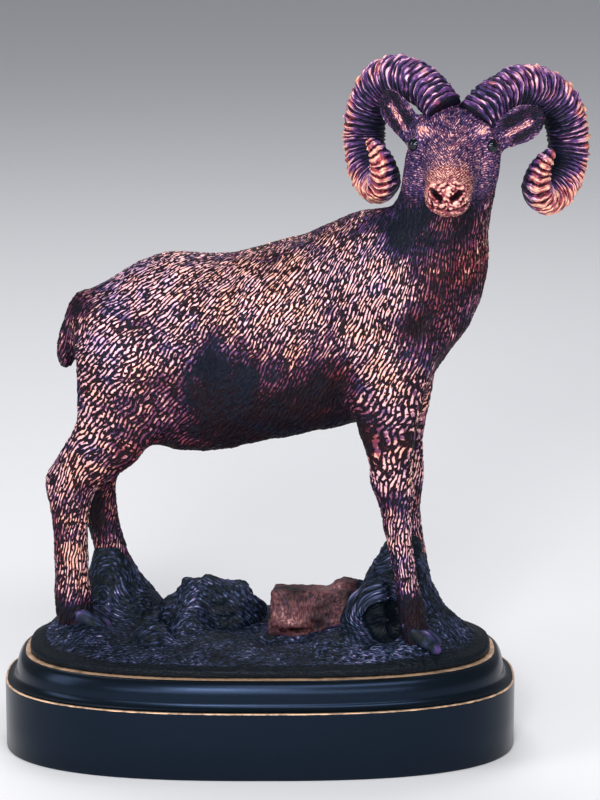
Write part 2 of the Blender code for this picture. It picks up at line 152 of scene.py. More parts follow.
FORE_LEG = (
    (138.0, 36.0, 64.0, 7.0),
    (128.0, 37.5, 62.0, 8.0),
    (118.0, 37.0, 60.0, 8.0),
    (112.0, 37.8, 58.8, 7.6),
    (106.0, 39.8, 57.8, 7.0),
    (100.0, 41.8, 57.0, 6.4),
    (95.0, 42.5, 56.8, 6.1),
    (91.0, 43.0, 57.6, 6.0),
    (87.0, 44.8, 57.6, 5.6),
    (82.0, 46.4, 56.4, 4.8),
    (75.0, 47.8, 56.4, 4.4),
    (67.0, 49.6, 57.6, 4.3),
    (60.0, 51.0, 58.8, 4.6),
    (54.0, 51.6, 60.2, 5.0),
    (49.0, 52.2, 61.0, 5.0),
    (44.0, 53.0, 62.4, 5.2),
    (40.0, 53.6, 63.0, 5.4),
    (37.0, 53.6, 61.6, 5.2),
    (34.0, 53.6, 60.6, 5.0),
)
# Hooves: how far forward the toes of each leg reach, then the size, slope and place of one toe
HIND_HOOF_FRONT = -44.5
FORE_HOOF_FRONT = 67.0
FAR_HIND_HOOF_STEP = 13.5
TOE_LENGTH = 17.0
TOE_HALF_WIDTH = 3.1
TOE_HALF_HEIGHT = 3.4
TOE_SLOPE = math.radians(38)
TOE_TIP_HEIGHT = 36.0
TOE_SPREAD = 2.9
TAIL = (
    (151.0, -57.0, -49.0, 4.0),
    (144.5, -60.2, -53.0, 4.6),
    (138.0, -62.9, -56.4, 4.7),
    (132.0, -64.7, -58.0, 4.4),
    (127.0, -64.5, -58.2, 3.8),
    (124.0, -62.8, -59.6, 2.0),
)

# Muscles under the coat, in pairs: start, end, start radius, end radius, and how flat against the ribs
MUSCLES = (
    ((42.0, 8.0, 172.0), (58.0, 11.0, 145.0), 8.0, 11.0, 0.75),
    ((59.0, 10.5, 143.0), (45.0, 12.0, 122.0), 10.5, 8.5, 0.85),
    ((35.0, 10.0, 152.0), (41.0, 12.0, 126.0), 8.0, 7.5, 0.85),
    ((-46.0, 8.5, 145.0), (-32.0, 10.5, 123.0), 11.0, 15.0, 0.75),
    ((-33.0, 10.5, 125.0), (-48.0, 11.0, 110.0), 14.0, 9.0, 0.72),
    ((-24.0, 9.0, 155.0), (-41.0, 8.0, 149.0), 6.0, 7.0, 0.9),
    ((72.0, 4.5, 158.0), (58.0, 7.0, 134.0), 8.0, 7.5, 0.95),
)

# Head, in a frame of its own: forward to the nose, up to the poll, side to the ram's left ear
HEAD_PLACE = (62.4, -14.0, 203.0)
HEAD_TURN = math.radians(-96.5)  # the way the nose points, seen from above, from +X
HEAD_DROP = math.radians(11)
# Slices across the head: place along it, middle height, half height, half width
HEAD = (
    (-17.0, -3.0, 8.0, 9.0),
    (-12.0, -2.0, 11.6, 12.8),
    (-6.0, -1.4, 13.3, 13.8),
    (0.0, -1.5, 12.9, 12.6),
    (6.0, -3.0, 11.4, 10.6),
    (13.0, -4.8, 9.6, 8.6),
    (19.0, -6.0, 8.4, 7.6),
    (25.0, -7.0, 7.6, 7.5),
    (29.0, -7.6, 7.0, 7.6),
    (32.5, -8.0, 5.7, 6.4),
    (34.5, -8.2, 3.6, 4.2),
)
BROW_PLACE = (3.0, 5.4, 9.2)
BROW_RADIUS = 3.5
EYE_PLACE = (3.8, 1.2, 10.8)
EYE_RADIUS = 2.5
EYE_LOOKS = (0.55, 0.05, 0.83)
EYEBALL_RADIUS = 2.4
EYE_SHOWS = 1.4  # how far the middle of an eyeball lies in front of its socket's
NOSTRIL = ((1.9, -6.0), (4.2, -4.4))  # side and height of its lower and upper ends
MOUTH = (-10.3, 1.5, 5.5)  # its height in the middle, how far it rises to its corners, and their side
# Round each eye: depth and reach of the socket, then height, distance and width of each lid and fold
SOCKET = (1.1, 1.9)
EYELIDS = ((0.55, 2.8, 0.5), (-0.3, 3.9, 0.5))
# Bright patches of the face: middle and reach sideways, up and forward
BROW_PATCH = ((9.5, 2.4), (6.4, 1.4), (5.0, 5.0))
TEAR_PATCH = ((10.0, 1.3), (-3.0, 1.8), (5.0, 6.0))

# Ears: side of the head, root, the way it points, the way it faces, all in the head's frame
EARS = (
    (-1, (-5.0, -0.5, 12.3), (-0.2, 0.8, 0.57), (0.9, -0.15, 0.42)),
    (1, (-5.0, 0.0, 11.5), (-0.15, 0.45, 0.88), (0.95, 0.1, 0.3)),
)
EAR_LENGTH = 19.5
EAR_HALF_WIDTH = 6.8
EAR_HALF_THICKNESS = 1.3
EAR_CURL = 2.6
EAR_FOLD = 0.8  # how far off its middle an ear's bright inner fold runs
EAR_SHAPE = ((-0.15, 0.55), (0.1, 0.8), (0.35, 1.0), (0.6, 1.04), (0.82, 0.86), (1.0, 0.42))  # place, width

# Horns: one spiral, mirrored to the other side of the head
HORN_COIL_CENTRE = (-22.0, -7.9, 15.9)  # forward, up, side
HORN_LEFT_SHIFT = (0.0, -2.7, 3.3)  # the left horn's coil sits lower and further out than the right's
HORN_COIL_RADIUS = 26.2
HORN_COIL_DECAY = 1.264
HORN_START = math.radians(53.6)
HORN_SWEEP = math.radians(358.6)
HORN_SPREAD = 21.7
HORN_GATHER = 4.2
HORN_FLARE = math.radians(32.2)
HORN_ROLL = math.radians(0.5)
HORN_SQUASH = 1.116
HORN_BASE_RADIUS = 6.9
HORN_TIP_RADIUS = 1.5
HORN_TAPER = 4.0  # how late along its length the horn thins
HORN_FLATNESS = 0.88
HORN_LENGTH = 97.0
HORN_RIDGES = 54
HORN_RIDGE_DEPTH = 0.62
HORN_STEPS = 420
HORN_BURIED = 26  # steps that lie inside the head
HORN_SIDES = 80
HORN_WEAR = ((0.0, 0.2), (0.12, 0.4), (0.4, 1.0), (1.0, 1.0))  # share of its turns, wear of its outer edge

# Mounds that the far legs stand against, as level slices in the ram's frame
FORE_MOUND = (
    (34.0, 26.0, 78.0, 20.0, 6.0),
    (38.5, 29.0, 73.5, 17.0, 6.0),
    (43.0, 32.0, 68.0, 14.5, 6.0),
    (48.0, 35.0, 63.5, 12.5, 7.0),
    (54.0, 38.0, 60.5, 11.0, 8.0),
    (60.0, 41.0, 58.5, 9.5, 9.0),
    (66.0, 44.5, 57.0, 7.5, 10.0),
    (70.0, 47.0, 56.0, 5.0, 11.0),
)
HIND_MOUND = (
    (34.0, -70.0, -22.0, 19.0, 7.0),
    (38.0, -66.0, -27.5, 16.0, 8.0),
    (43.0, -62.0, -32.5, 13.0, 9.0),
    (49.0, -58.0, -38.0, 10.5, 10.0),
    (55.0, -56.0, -42.0, 8.0, 11.0),
    (61.0, -54.5, -45.5, 5.5, 11.5),
)
# Rocks: middle, half sizes, turn about Z in degrees, seed
ROCKS = (
    ((-16.0, 10.0, 42.0), (19.0, 11.0, 12.0), 8.0, 3),
    ((-20.0, 2.0, 38.0), (12.0, 9.0, 9.0), 35.0, 9),
    ((-22.0, 11.0, 44.6), (9.0, 8.0, 8.6), 30.0, 14),
    ((-9.0, 12.0, 43.4), (8.0, 8.0, 9.2), 75.0, 27),
    ((37.0, -11.0, 46.0), (11.0, 9.0, 12.0), 20.0, 5),
    ((30.0, 12.0, 42.0), (12.0, 9.0, 11.0), 60.0, 21),
    ((-34.0, -14.0, 37.5), (7.0, 5.5, 7.5), 10.0, 8),
)
ROCK_CORNERS = 26
# Squared block: middle, half sizes and turns about X and Z in degrees
BLOCK = ((17.5, 6.0, 43.8), (13.5, 8.5, 6.4), (-8.0, -5.0))
BLOCK_EDGE = 0.9
# Soil heaped round the feet and at both ends: place along and across the plinth, reach, height
HUMPS = (
    (-60.0, -6.0, 13.0, 5.0),
    (-71.0, 6.0, 10.0, 4.0),
    (-48.0, -14.0, 9.0, 2.0),
    (54.0, -16.0, 12.0, 4.5),
    (68.0, -2.0, 10.0, 3.5),
    (30.0, -13.0, 13.0, 3.8),
    (46.0, -16.0, 12.0, 2.4),
    (-18.0, -8.0, 14.0, 2.0),
)
HOLLOW = ((8.0, -10.0), (8.0, 4.5), 3.2)  # under the block: middle, reach along and across, depth
# Ridged burrow beside the near fore leg: middle as place along and height, size of its mouth, and its rings
BURROW = (41.0, 46.0)
BURROW_MOUTH = (6.8, 6.0)
BURROW_RINGS = 5
BURROW_RING_WIDTH = 1.6
# Pitted patch in front of the burrow: size of a pit, then limits and blend along and across the plinth
PITS_LENGTH = 2.4
PITS_ALONG = (14.0, 60.0, 5.0)
PITS_ACROSS = (-34.0, -15.0, 3.0)
GRASS_PLACES = 45000  # places tried for the tufts of grass
FACE_PLACES = 26000  # places tried for the hairs of the face

# Skins
ROUGH_VOXEL = 1.1
COAT_VOXEL = 0.43
FACE_VOXEL = 0.32
GROUND_VOXEL = 0.66
HOOF_VOXEL = 0.5
BODY_SMOOTHING = 26  # passes that blend the muscles into each other
DETAIL_SMOOTHING = 4  # passes over the thin and sharp parts
# Share of the body's smoothing, by height and by place along the plinth
BODY_HEIGHTS = ((96.0, 0.0), (106.0, 1.0), (182.0, 1.0), (192.0, 0.0))
BODY_REAR = ((-60.0, 0.0), (-52.0, 1.0))

# Share of the coat's clumps, by height
CLUMP_HEIGHTS = ((50.0, 0.3), (100.0, 1.0), (188.0, 1.0), (196.0, 0.0))

# Carved locks of the coat: half length, half width, height, and the least spacing along and across
COAT_LOCK = (1.9, 0.62, 0.60, 2.0, 0.95)
FACE_LOCK = (0.85, 0.42, 0.28, 1.0, 0.66)
GRASS_LOCK = (2.0, 0.75, 0.65, 2.2, 1.2)
LOCK_NEIGHBOURS = 12
LAY_NEIGHBOURS = 4
# Fine hairs on the locks, which only the materials hold: width and length
COAT_HAIR = (1.0, 2.3)
FACE_HAIR = (0.72, 1.5)
HORN_HAIR = (0.95, 4.5)
GROUND_HAIR = (0.85, 1.8)
HOOF_HAIR = (1.6, 5.0)
COAT_RIPPLE = (12.0, 14.0)  # how far the coat's fall wanders, in degrees, and over what length
LAY_ROUNDS = 500  # steps taken to count the hairs over a whole surface
LEG_TOP = 98.0  # height below which the hairs are counted round each leg

# The way the coat lies, in the ram's frame: place along it, height, fall from level in degrees
COAT_FALL = (
    (-45.0, 160.0, 30.0),
    (-30.0, 155.0, 38.0),
    (-34.0, 136.0, 48.0),
    (-44.0, 122.0, 50.0),
    (-57.0, 138.0, 68.0),
    (-54.0, 118.0, 66.0),
    (-48.0, 100.0, 42.0),
    (-36.0, 104.0, 44.0),
    (-60.0, 86.0, 62.0),
    (-58.0, 60.0, 80.0),
    (-12.0, 130.0, 55.0),
    (-10.0, 160.0, 46.0),
    (8.0, 148.0, 60.0),
    (20.0, 135.0, 64.0),
    (20.0, 166.0, 56.0),
    (40.0, 160.0, 70.0),
    (46.0, 140.0, 76.0),
    (44.0, 118.0, 76.0),
    (58.0, 175.0, 88.0),
    (52.0, 192.0, 86.0),
    (72.0, 165.0, 94.0),
    (62.0, 145.0, 92.0),
    (42.0, 100.0, 72.0),
    (56.0, 104.0, 98.0),
    (52.0, 75.0, 86.0),
    (56.0, 50.0, 82.0),
)

# Folds and swellings between the muscles, in the ram's frame: start, end, reach, and how far they stand out
FOLDS = (
    ((32.0, 168.0), (35.0, 128.0), 3.2, -1.1),
    ((35.0, 128.0), (30.0, 112.0), 3.2, -1.3),
    ((62.0, 150.0), (54.0, 136.0), 2.8, -1.2),
    ((50.0, 170.0), (60.0, 152.0), 2.4, -0.7),
    ((43.0, 160.0), (52.0, 146.0), 4.5, 0.9),
    ((-15.0, 128.0), (-18.0, 108.0), 4.0, -1.3),
    ((-12.0, 146.0), (-14.0, 130.0), 5.0, -0.9),
    ((-25.0, 112.0), (-36.0, 98.0), 3.0, 0.6),
    ((-38.0, 146.0), (-26.0, 140.0), 3.0, -0.7),
    ((-20.0, 158.0), (-22.0, 130.0), 5.0, 0.8),
    ((-50.0, 122.0), (-38.0, 116.0), 3.0, -0.6),
    ((-2.0, 164.0), (-5.0, 140.0), 2.2, -0.4),
    ((8.0, 163.0), (4.0, 138.0), 2.2, -0.4),
    ((18.0, 166.0), (14.0, 138.0), 2.2, -0.4),
    ((44.0, 124.0), (47.0, 104.0), 2.0, -0.5),
    ((52.0, 190.0), (46.0, 172.0), 2.6, -0.7),
    ((58.0, 186.0), (56.0, 172.0), 2.2, -0.6),
    ((66.0, 184.0), (66.0, 166.0), 2.2, -0.5),
    ((73.0, 178.0), (70.0, 160.0), 2.2, -0.5),
)

# Where the patina is rubbed off, and where shade is painted, in the ram's frame: place along it, height,
# reach, how much. A negative amount makes it darker; the two rows low on the belly are painted shade.
COAT_RUB_AND_SHADE = (
    (-28.7, 154.9, 13.0, 0.75),
    (-42.3, 134.6, 9.5, 0.75),
    (-20.0, 140.0, 9.0, 0.35),
    (-57.0, 147.0, 6.0, -0.25),
    (-4.0, 155.7, 10.0, 0.5),
    (9.1, 154.0, 12.0, 0.6),
    (23.8, 158.3, 10.0, 0.5),
    (20.6, 145.1, 8.0, 0.4),
    (40.0, 163.7, 10.0, 0.6),
    (48.2, 154.2, 9.0, 0.5),
    (41.7, 140.9, 9.0, 0.5),
    (49.9, 126.4, 8.0, 0.5),
    (53.3, 115.0, 7.0, 0.3),
    (-51.0, 105.8, 10.0, 0.5),
    (-59.0, 90.9, 5.0, 0.6),
    (57.0, 91.9, 4.5, 0.5),
    (50.0, 97.0, 7.0, 0.45),
    (-52.0, 62.0, 5.5, 0.4),
    (56.0, 72.0, 5.5, 0.4),
    (66.0, 178.0, 14.0, -0.18),
    (-7.4, 130.0, 11.0, -0.28),
    (-33.8, 143.5, 4.5, -0.4),
    (-3.9, 163.9, 3.5, -0.3),
    (8.2, 163.0, 4.0, -0.2),
    (51.2, 177.6, 10.0, -0.25),
    # Painted shade: these two rows darken the lower belly, which is in shade
    (-2.5, 112.0, 14.0, -0.5),
    (20.0, 114.0, 12.0, -0.45),
    (31.7, 126.0, 6.5, -0.45),
    (57.9, 146.4, 6.0, -0.4),
    (65.9, 154.8, 7.0, -0.25),
    (40.3, 107.8, 6.5, -0.4),
)
RUB_EVERYWHERE = 0.39
# Where the patina is warm, and where it is blue, in the same way
COAT_WARMTH = (
    (-34.3, 101.4, 14.0, 0.3),
    (76.1, 163.2, 9.0, 0.4),
    (52.0, 105.0, 16.0, 0.2),
    (-55.0, 75.0, 16.0, 0.2),
    (10.0, 155.0, 22.0, 0.2),
    (-42.7, 153.0, 9.0, -0.4),
    (-7.4, 130.0, 12.0, -0.5),
    (51.2, 177.6, 12.0, -0.5),
    (60.0, 190.0, 14.0, -0.2),
)
WARM_EVERYWHERE = 0.5


def deselect():
    for obj in bpy.context.selected_objects:
        obj.select_set(False)


def activate(obj):
    deselect()
    obj.select_set(True)
    bpy.context.view_layer.objects.active = obj


def apply_modifier(obj, modifier):
    activate(obj)
    bpy.ops.object.modifier_apply(modifier=modifier.name)


def add_object(name, data):
    obj = bpy.data.objects.new(name, data)
    bpy.context.scene.collection.objects.link(obj)
    return obj


def new_object(name, mesh_data):
    """A named object from a bmesh drawn in millimetres."""
    bmesh.ops.scale(mesh_data, vec=(MM, MM, MM), verts=mesh_data.verts)
    bmesh.ops.recalc_face_normals(mesh_data, faces=mesh_data.faces)
    mesh = bpy.data.meshes.new(name)
    mesh_data.to_mesh(mesh)
    mesh_data.free()
    return add_object(name, mesh)


def finish_piece(obj, node, finish):
    """Gives a finished piece its material, and stands it in for its part of the statue."""
    obj.data.materials.clear()
    obj.data.materials.append(finish)
    obj.data.shade_smooth()
    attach(obj, "root")
    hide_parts(node)


# Drawing in slices


def rounded(turn, roundness):
    """A point of the unit superellipse, as shares of its two half axes."""
    power = 2.0 / roundness
    c, s = math.cos(turn), math.sin(turn)
    return math.copysign(abs(c) ** power, c), math.copysign(abs(s) ** power, s)


def outline(centre, along, across, corners, roundness=2.2):
    """The corners of a rounded slice with these two half axes."""
    points = []
    for i in range(corners):
        c, s = rounded(2 * math.pi * i / corners, roundness)
        points.append(centre + along * c + across * s)
    return points


def loft(mesh, slices):
    """Skins closed slices that have the same number of corners, and caps both ends."""
    loops = [[mesh.verts.new(point) for point in points] for points in slices]
    for lower, upper in zip(loops, loops[1:]):
        for i in range(len(lower)):
            j = (i + 1) % len(lower)
            mesh.faces.new((lower[i], lower[j], upper[j], upper[i]))
    mesh.faces.new(list(reversed(loops[0])))
    mesh.faces.new(loops[-1])
    return [vertex for loop in loops for vertex in loop]


def ram_to_plinth():
    """The ram's frame, forward +X and left +Y, placed on the plinth."""
    return Matrix.Translation((*RAM_PLACE, 0)) @ Matrix.Rotation(RAM_YAW, 4, "Z")


def head_to_plinth():
    """The head's frame, with columns forward, up and side."""
    level = Vector((math.cos(HEAD_TURN), math.sin(HEAD_TURN), 0))
    forward = level * math.cos(HEAD_DROP) - Z * math.sin(HEAD_DROP)
    up = level * math.sin(HEAD_DROP) + Z * math.cos(HEAD_DROP)
    side = up.cross(forward)
    turned = Matrix((forward, up, side)).transposed().to_4x4()
    return Matrix.Translation(HEAD_PLACE) @ turned


def seen_from(matrix, points):
    """Points in millimetres, given in the frame that this matrix places."""
    back = np.array(matrix.inverted())
    return points @ back[:3, :3].T + back[:3, 3]


def in_ram_frame(points):
    return seen_from(ram_to_plinth(), points)


def in_head_frame(points):
    return seen_from(head_to_plinth(), points)


def level_slices(rows, side, spread, step=(), corners=28):
    """Slices of a leg, the tail or the neck, lying level."""
    slices = []
    for height, rear, front, half_width, *shift in rows:
        forward = stepped(height, step)
        middle = Vector(((rear + front) / 2 + forward, side * spread + sum(shift), height))
        slices.append(outline(middle, X * (front - rear) / 2, Y * half_width, corners))
    return slices


def stepped(height, step):
    """How far forward a leg has moved at this height, read between the rows of step."""
    for (high, at_high), (low, at_low) in zip(step, step[1:]):
        if low <= height <= high:
            return at_low + (at_high - at_low) * (height - low) / (high - low)
    return 0.0


def muscle(mesh, start, end, start_radius, end_radius, flatness, corners=20, slices=13):
    """A rounded bundle between two points, flattened towards the ram's middle plane."""
    start, end = Vector(start), Vector(end)
    along = (end - start).normalized()
    across = (Y - along * along.dot(Y)).normalized()
    other = along.cross(across)
    reach = start - along * start_radius * 0.7
    tip = end + along * end_radius * 0.7
    points = []
    for i in range(slices):
        share = (i + 0.5) / slices
        bulge = math.sin(math.pi * share) ** 0.5
        radius = (start_radius + (end_radius - start_radius) * share) * bulge
        centre = reach + (tip - reach) * share
        points.append(outline(centre, other * radius, across * radius * flatness, corners))
    loft(mesh, points)


def ball(mesh, centre, radius, detail=24):
    made = bmesh.ops.create_uvsphere(
        mesh, u_segments=detail, v_segments=detail // 2, radius=radius, matrix=Matrix.Translation(centre)
    )
    return made["verts"]


def place(mesh, vertices, matrix):
    bmesh.ops.transform(mesh, matrix=matrix, verts=vertices)


# The ram's form, before it is carved


def add_body(mesh):
    """Trunk, neck, tail, legs and their muscles."""
    before = set(mesh.verts)
    slices = []
    for x, back, belly, half_width in TRUNK:
        middle = Vector((x, 0, (back + belly) / 2))
        slices.append(outline(middle, Z * (back - belly) / 2, Y * half_width, 36, 2.3))
    loft(mesh, slices)
    loft(mesh, level_slices(NECK, 0, 0))
    loft(mesh, level_slices(TAIL, 0, 0))
    for side in (-1, 1):
        step = FAR_HIND_STEP if side > 0 else ()
        loft(mesh, level_slices(HIND_LEG, side, LEG_SPREAD, step))
        loft(mesh, level_slices(FORE_LEG, side, LEG_SPREAD))
        for start, end, *rest in MUSCLES:
            mirrored = [(x, side * y, z) for x, y, z in (start, end)]
            muscle(mesh, *mirrored, *rest)
    place(mesh, [v for v in mesh.verts if v not in before], ram_to_plinth())


def ear_axes(side, points, faces):
    """The way an ear points, the way it faces and the way across it."""
    along, faces = (Vector((x, y, z * side)) for x, y, z in (points, faces))
    along.normalize()
    faces = (faces - along * along.dot(faces)).normalized()
    return along, faces, along.cross(faces)


def add_ear(mesh, side, root, points, faces):
    """A leaf that narrows to its root and its tip, and curls forward along its edges."""
    along, faces, across = ear_axes(side, points, faces)
    root = Vector((root[0], root[1], root[2] * side))
    slices = []
    for share, width in EAR_SHAPE:
        centre = root + along * EAR_LENGTH * share
        thickness = EAR_HALF_THICKNESS * (1.4 - 0.6 * share)
        curl = EAR_CURL * width * min(1.0, 0.4 + share)
        leaf = []
        for i in range(24):
            c, s = rounded(2 * math.pi * i / 24, 2.2)
            forward = thickness * s + curl * (c * c - 0.5)
            leaf.append(centre + across * EAR_HALF_WIDTH * width * c + faces * forward)
        slices.append(leaf)
    loft(mesh, slices)


def add_head(mesh):
    """Skull and muzzle, brows, eye sockets and ears."""
    before = set(mesh.verts)
    slices = []
    for x, middle, half_height, half_width in HEAD:
        slices.append(outline(Vector((x, middle, 0)), Y * half_height, Z * half_width, 40, 2.3))
    loft(mesh, slices)
    for side, *ear in EARS:
        for (x, y, z), radius in ((BROW_PLACE, BROW_RADIUS), (EYE_PLACE, EYE_RADIUS)):
            ball(mesh, (x, y, side * z), radius)
        add_ear(mesh, side, *ear)
    place(mesh, [v for v in mesh.verts if v not in before], head_to_plinth())


def one_skin(obj, voxel):
    """Replaces overlapping shapes by the one surface round them all."""
    skin = obj.modifiers.new("one skin", "REMESH")
    skin.mode = "VOXEL"
    skin.voxel_size = voxel * MM
    apply_modifier(obj, skin)


class Skin:
    """A mesh as arrays in millimetres, which are carved and then written back."""

    def __init__(self, obj):
        self.mesh = obj.data
        self.points = self.read(self.mesh.vertices, "co", 3) / MM
        self.edges = self.read(self.mesh.edges, "vertices", 2, int)

    def read(self, rows, field, width, kind=float):
        values = np.empty(len(rows) * width, dtype=kind)
        rows.foreach_get(field, values)
        return values.reshape(-1, width)

    def write(self):
        self.mesh.vertices.foreach_set("co", (self.points * MM).ravel())
        self.mesh.update()

    def normals(self):
        self.write()
        return self.read(self.mesh.vertex_normals, "vector", 3)

    def smooth(self, passes, share=1.0):
        """Moves each point towards the mean of its neighbours, by half the way times its share."""
        near = np.concatenate((self.edges[:, 0], self.edges[:, 1]))
        far = np.concatenate((self.edges[:, 1], self.edges[:, 0]))
        count = np.bincount(near, minlength=len(self.points))
        share = np.broadcast_to(np.asarray(share, dtype=float), len(self.points))[:, None]
        for _ in range(passes):
            sums = [np.bincount(near, self.points[far, axis], len(self.points)) for axis in range(3)]
            mean = np.stack(sums, axis=1) / count[:, None]
            self.points = self.points + (mean - self.points) * 0.5 * share

    def paint(self, **values):
        """Keeps numbers from 0 to 1 for the materials, each the same all over or one per point."""
        for name, value in values.items():
            layer = self.mesh.attributes.new(name, "FLOAT", "POINT")
            at_points = np.clip(value, 0.0, 1.0) * np.ones(len(self.points))
            layer.data.foreach_set("value", at_points.astype(np.float32))

    def lay(self, places):
        """Keeps the places that the materials count their hairs by."""
        layer = self.mesh.attributes.new("lay", "FLOAT_VECTOR", "POINT")
        layer.data.foreach_set("vector", np.asarray(places, dtype=np.float32).ravel())


def ram_form():
    """The whole ram without its horns, with blended muscles and no coat yet."""
    mesh = bmesh.new()
    add_body(mesh)
    add_head(mesh)
    form = new_object("ram_form", mesh)
    one_skin(form, ROUGH_VOXEL)
    skin = Skin(form)
    body = np.interp(skin.points[:, 2], *zip(*BODY_HEIGHTS)) * np.interp(skin.points[:, 0], *zip(*BODY_REAR))
    skin.smooth(BODY_SMOOTHING, body)
    skin.smooth(DETAIL_SMOOTHING)
    skin.write()
    return form


# Locks of the coat, carved one by one


def unit(vectors):
    return vectors / np.maximum(np.linalg.norm(vectors, axis=1), 1e-9)[:, None]


def tree_of(points):
    tree = KDTree(len(points))
    for index, point in enumerate(points):
        tree.insert(point, index)
    tree.balance()
    return tree


def coat_fall(along, height):
    """How steeply the coat falls at each place on the ram's side, in radians."""
    table = np.array(COAT_FALL)
    gap = (along[:, None] - table[None, :, 0]) ** 2 + (height[:, None] - table[None, :, 1]) ** 2
    weight = 1.0 / (gap + 9.0) ** 2
    fall = (weight * table[None, :, 2]).sum(1) / weight.sum(1)
    amount, length = COAT_RIPPLE
    ripple = np.array([noise.noise(Vector((x, 0, z)) / length) for x, z in zip(along, height)])
    return np.radians(fall + amount * ripple)


def coat_flow(points):
    """The way the coat lies at each point, down and back along the ram."""
    local = in_ram_frame(points)
    fall = coat_fall(local[:, 0], local[:, 2])
    flow = np.stack((-np.cos(fall), np.zeros(len(fall)), -np.sin(fall)), axis=1)
    return flow @ np.array(ram_to_plinth().to_3x3()).T


def heights_from_rises(edges, rise, count):
    """The height of each point whose rises along the edges come nearest to these, by conjugate gradients."""

    def gather(value):
        return np.bincount(edges[:, 1], value, count) - np.bincount(edges[:, 0], value, count)

    height = np.zeros(count)
    left = gather(rise)
    way, size = left, left @ left
    for _ in range(LAY_ROUNDS):
        pulled = gather(way[edges[:, 1]] - way[edges[:, 0]])
        step = size / (way @ pulled)
        height, left = height + step * way, left - step * pulled
        way, size = left + way * (left @ left) / size, left @ left
    return height


class Lay:
    """Places counted across and along the hairs over a whole surface, in millimetres."""

    def __init__(self, skin, normals, flow, mirrored):
        self.points = skin.points
        along = unit(flow - normals * (flow * normals).sum(1)[:, None])
        across = np.cross(normals, along) * mirrored[:, None]
        steps = self.points[skin.edges[:, 1]] - self.points[skin.edges[:, 0]]
        self.rows = []
        for ways in (across, along):
            rise = (steps * (ways[skin.edges[:, 0]] + ways[skin.edges[:, 1]]) / 2).sum(1)
            self.rows.append((ways, heights_from_rises(skin.edges, rise, len(self.points))))

    def over(self, points, away_from_middle):
        """The same places at the points of a finer skin, with a third count that tells its sides apart."""
        tree = tree_of(self.points)
        found = [tree.find_n(point, LAY_NEIGHBOURS) for point in points]
        near = np.array([[index for _, index, _ in row] for row in found])
        weight = 1.0 / (np.array([[gap for _, _, gap in row] for row in found]) ** 2 + 0.1)
        weight /= weight.sum(1)[:, None]
        away = points[:, None] - self.points[near]
        counts = []
        for ways, height in self.rows:
            counts.append(((height[near] + (away * ways[near]).sum(2)) * weight).sum(1))
        return np.stack((*counts, away_from_middle), axis=1)


def face_flow(points):
    """Hair runs from the nose to the poll, over the cheeks to the neck, and along the ears to their tips."""
    local = in_head_frame(points)
    flow = np.stack((-np.ones(len(local)), local[:, 1] * 0.03, local[:, 2] * 0.07), axis=1)
    for on_ear, along, _ in ears_at(local):
        flow[on_ear] = along
    return flow @ np.array(head_to_plinth().to_3x3()).T


def ears_at(local):
    """For each ear: which points lie on it, the way it points and the way it faces."""
    for side, root, points_to, faces in EARS:
        along, faces, _ = ear_axes(side, points_to, faces)
        reach = (local - np.array((root[0], root[1], root[2] * side))) @ np.array(along)
        yield (reach > 2.0) & (local[:, 2] * side > 11.5), np.array(along), np.array(faces)


def face_mirror(points, normals):
    """Which way the hairs are counted over the head and both faces of each ear, so that the counts meet."""
    local = in_head_frame(points)
    mirrored = np.where(local[:, 2] > 0, 1.0, -1.0)
    for on_ear, _, faces in ears_at(local):
        turned = normals @ np.array(head_to_plinth().to_3x3()) @ faces
        mirrored[on_ear] = np.where(turned[on_ear] > 0, 1.0, -1.0)
    return mirrored


def ground_flow(points):
    """Grass lies in tufts that turn from place to place."""
    turn = np.array([noise.noise(Vector(p) / 11.0) for p in points]) * 1.6
    return np.stack((np.cos(turn), np.sin(turn) * 0.4, np.sin(turn)), axis=1)


def coat_mirror(points):
    """Which way the hairs are counted round the trunk and round each leg, so that the counts meet."""
    _, side, height = in_ram_frame(points).T
    leg = np.where(side > 0, side - LEG_SPREAD, side + LEG_SPREAD)
    return np.where(np.where(height > LEG_TOP, side, leg) > 0, 1.0, -1.0)


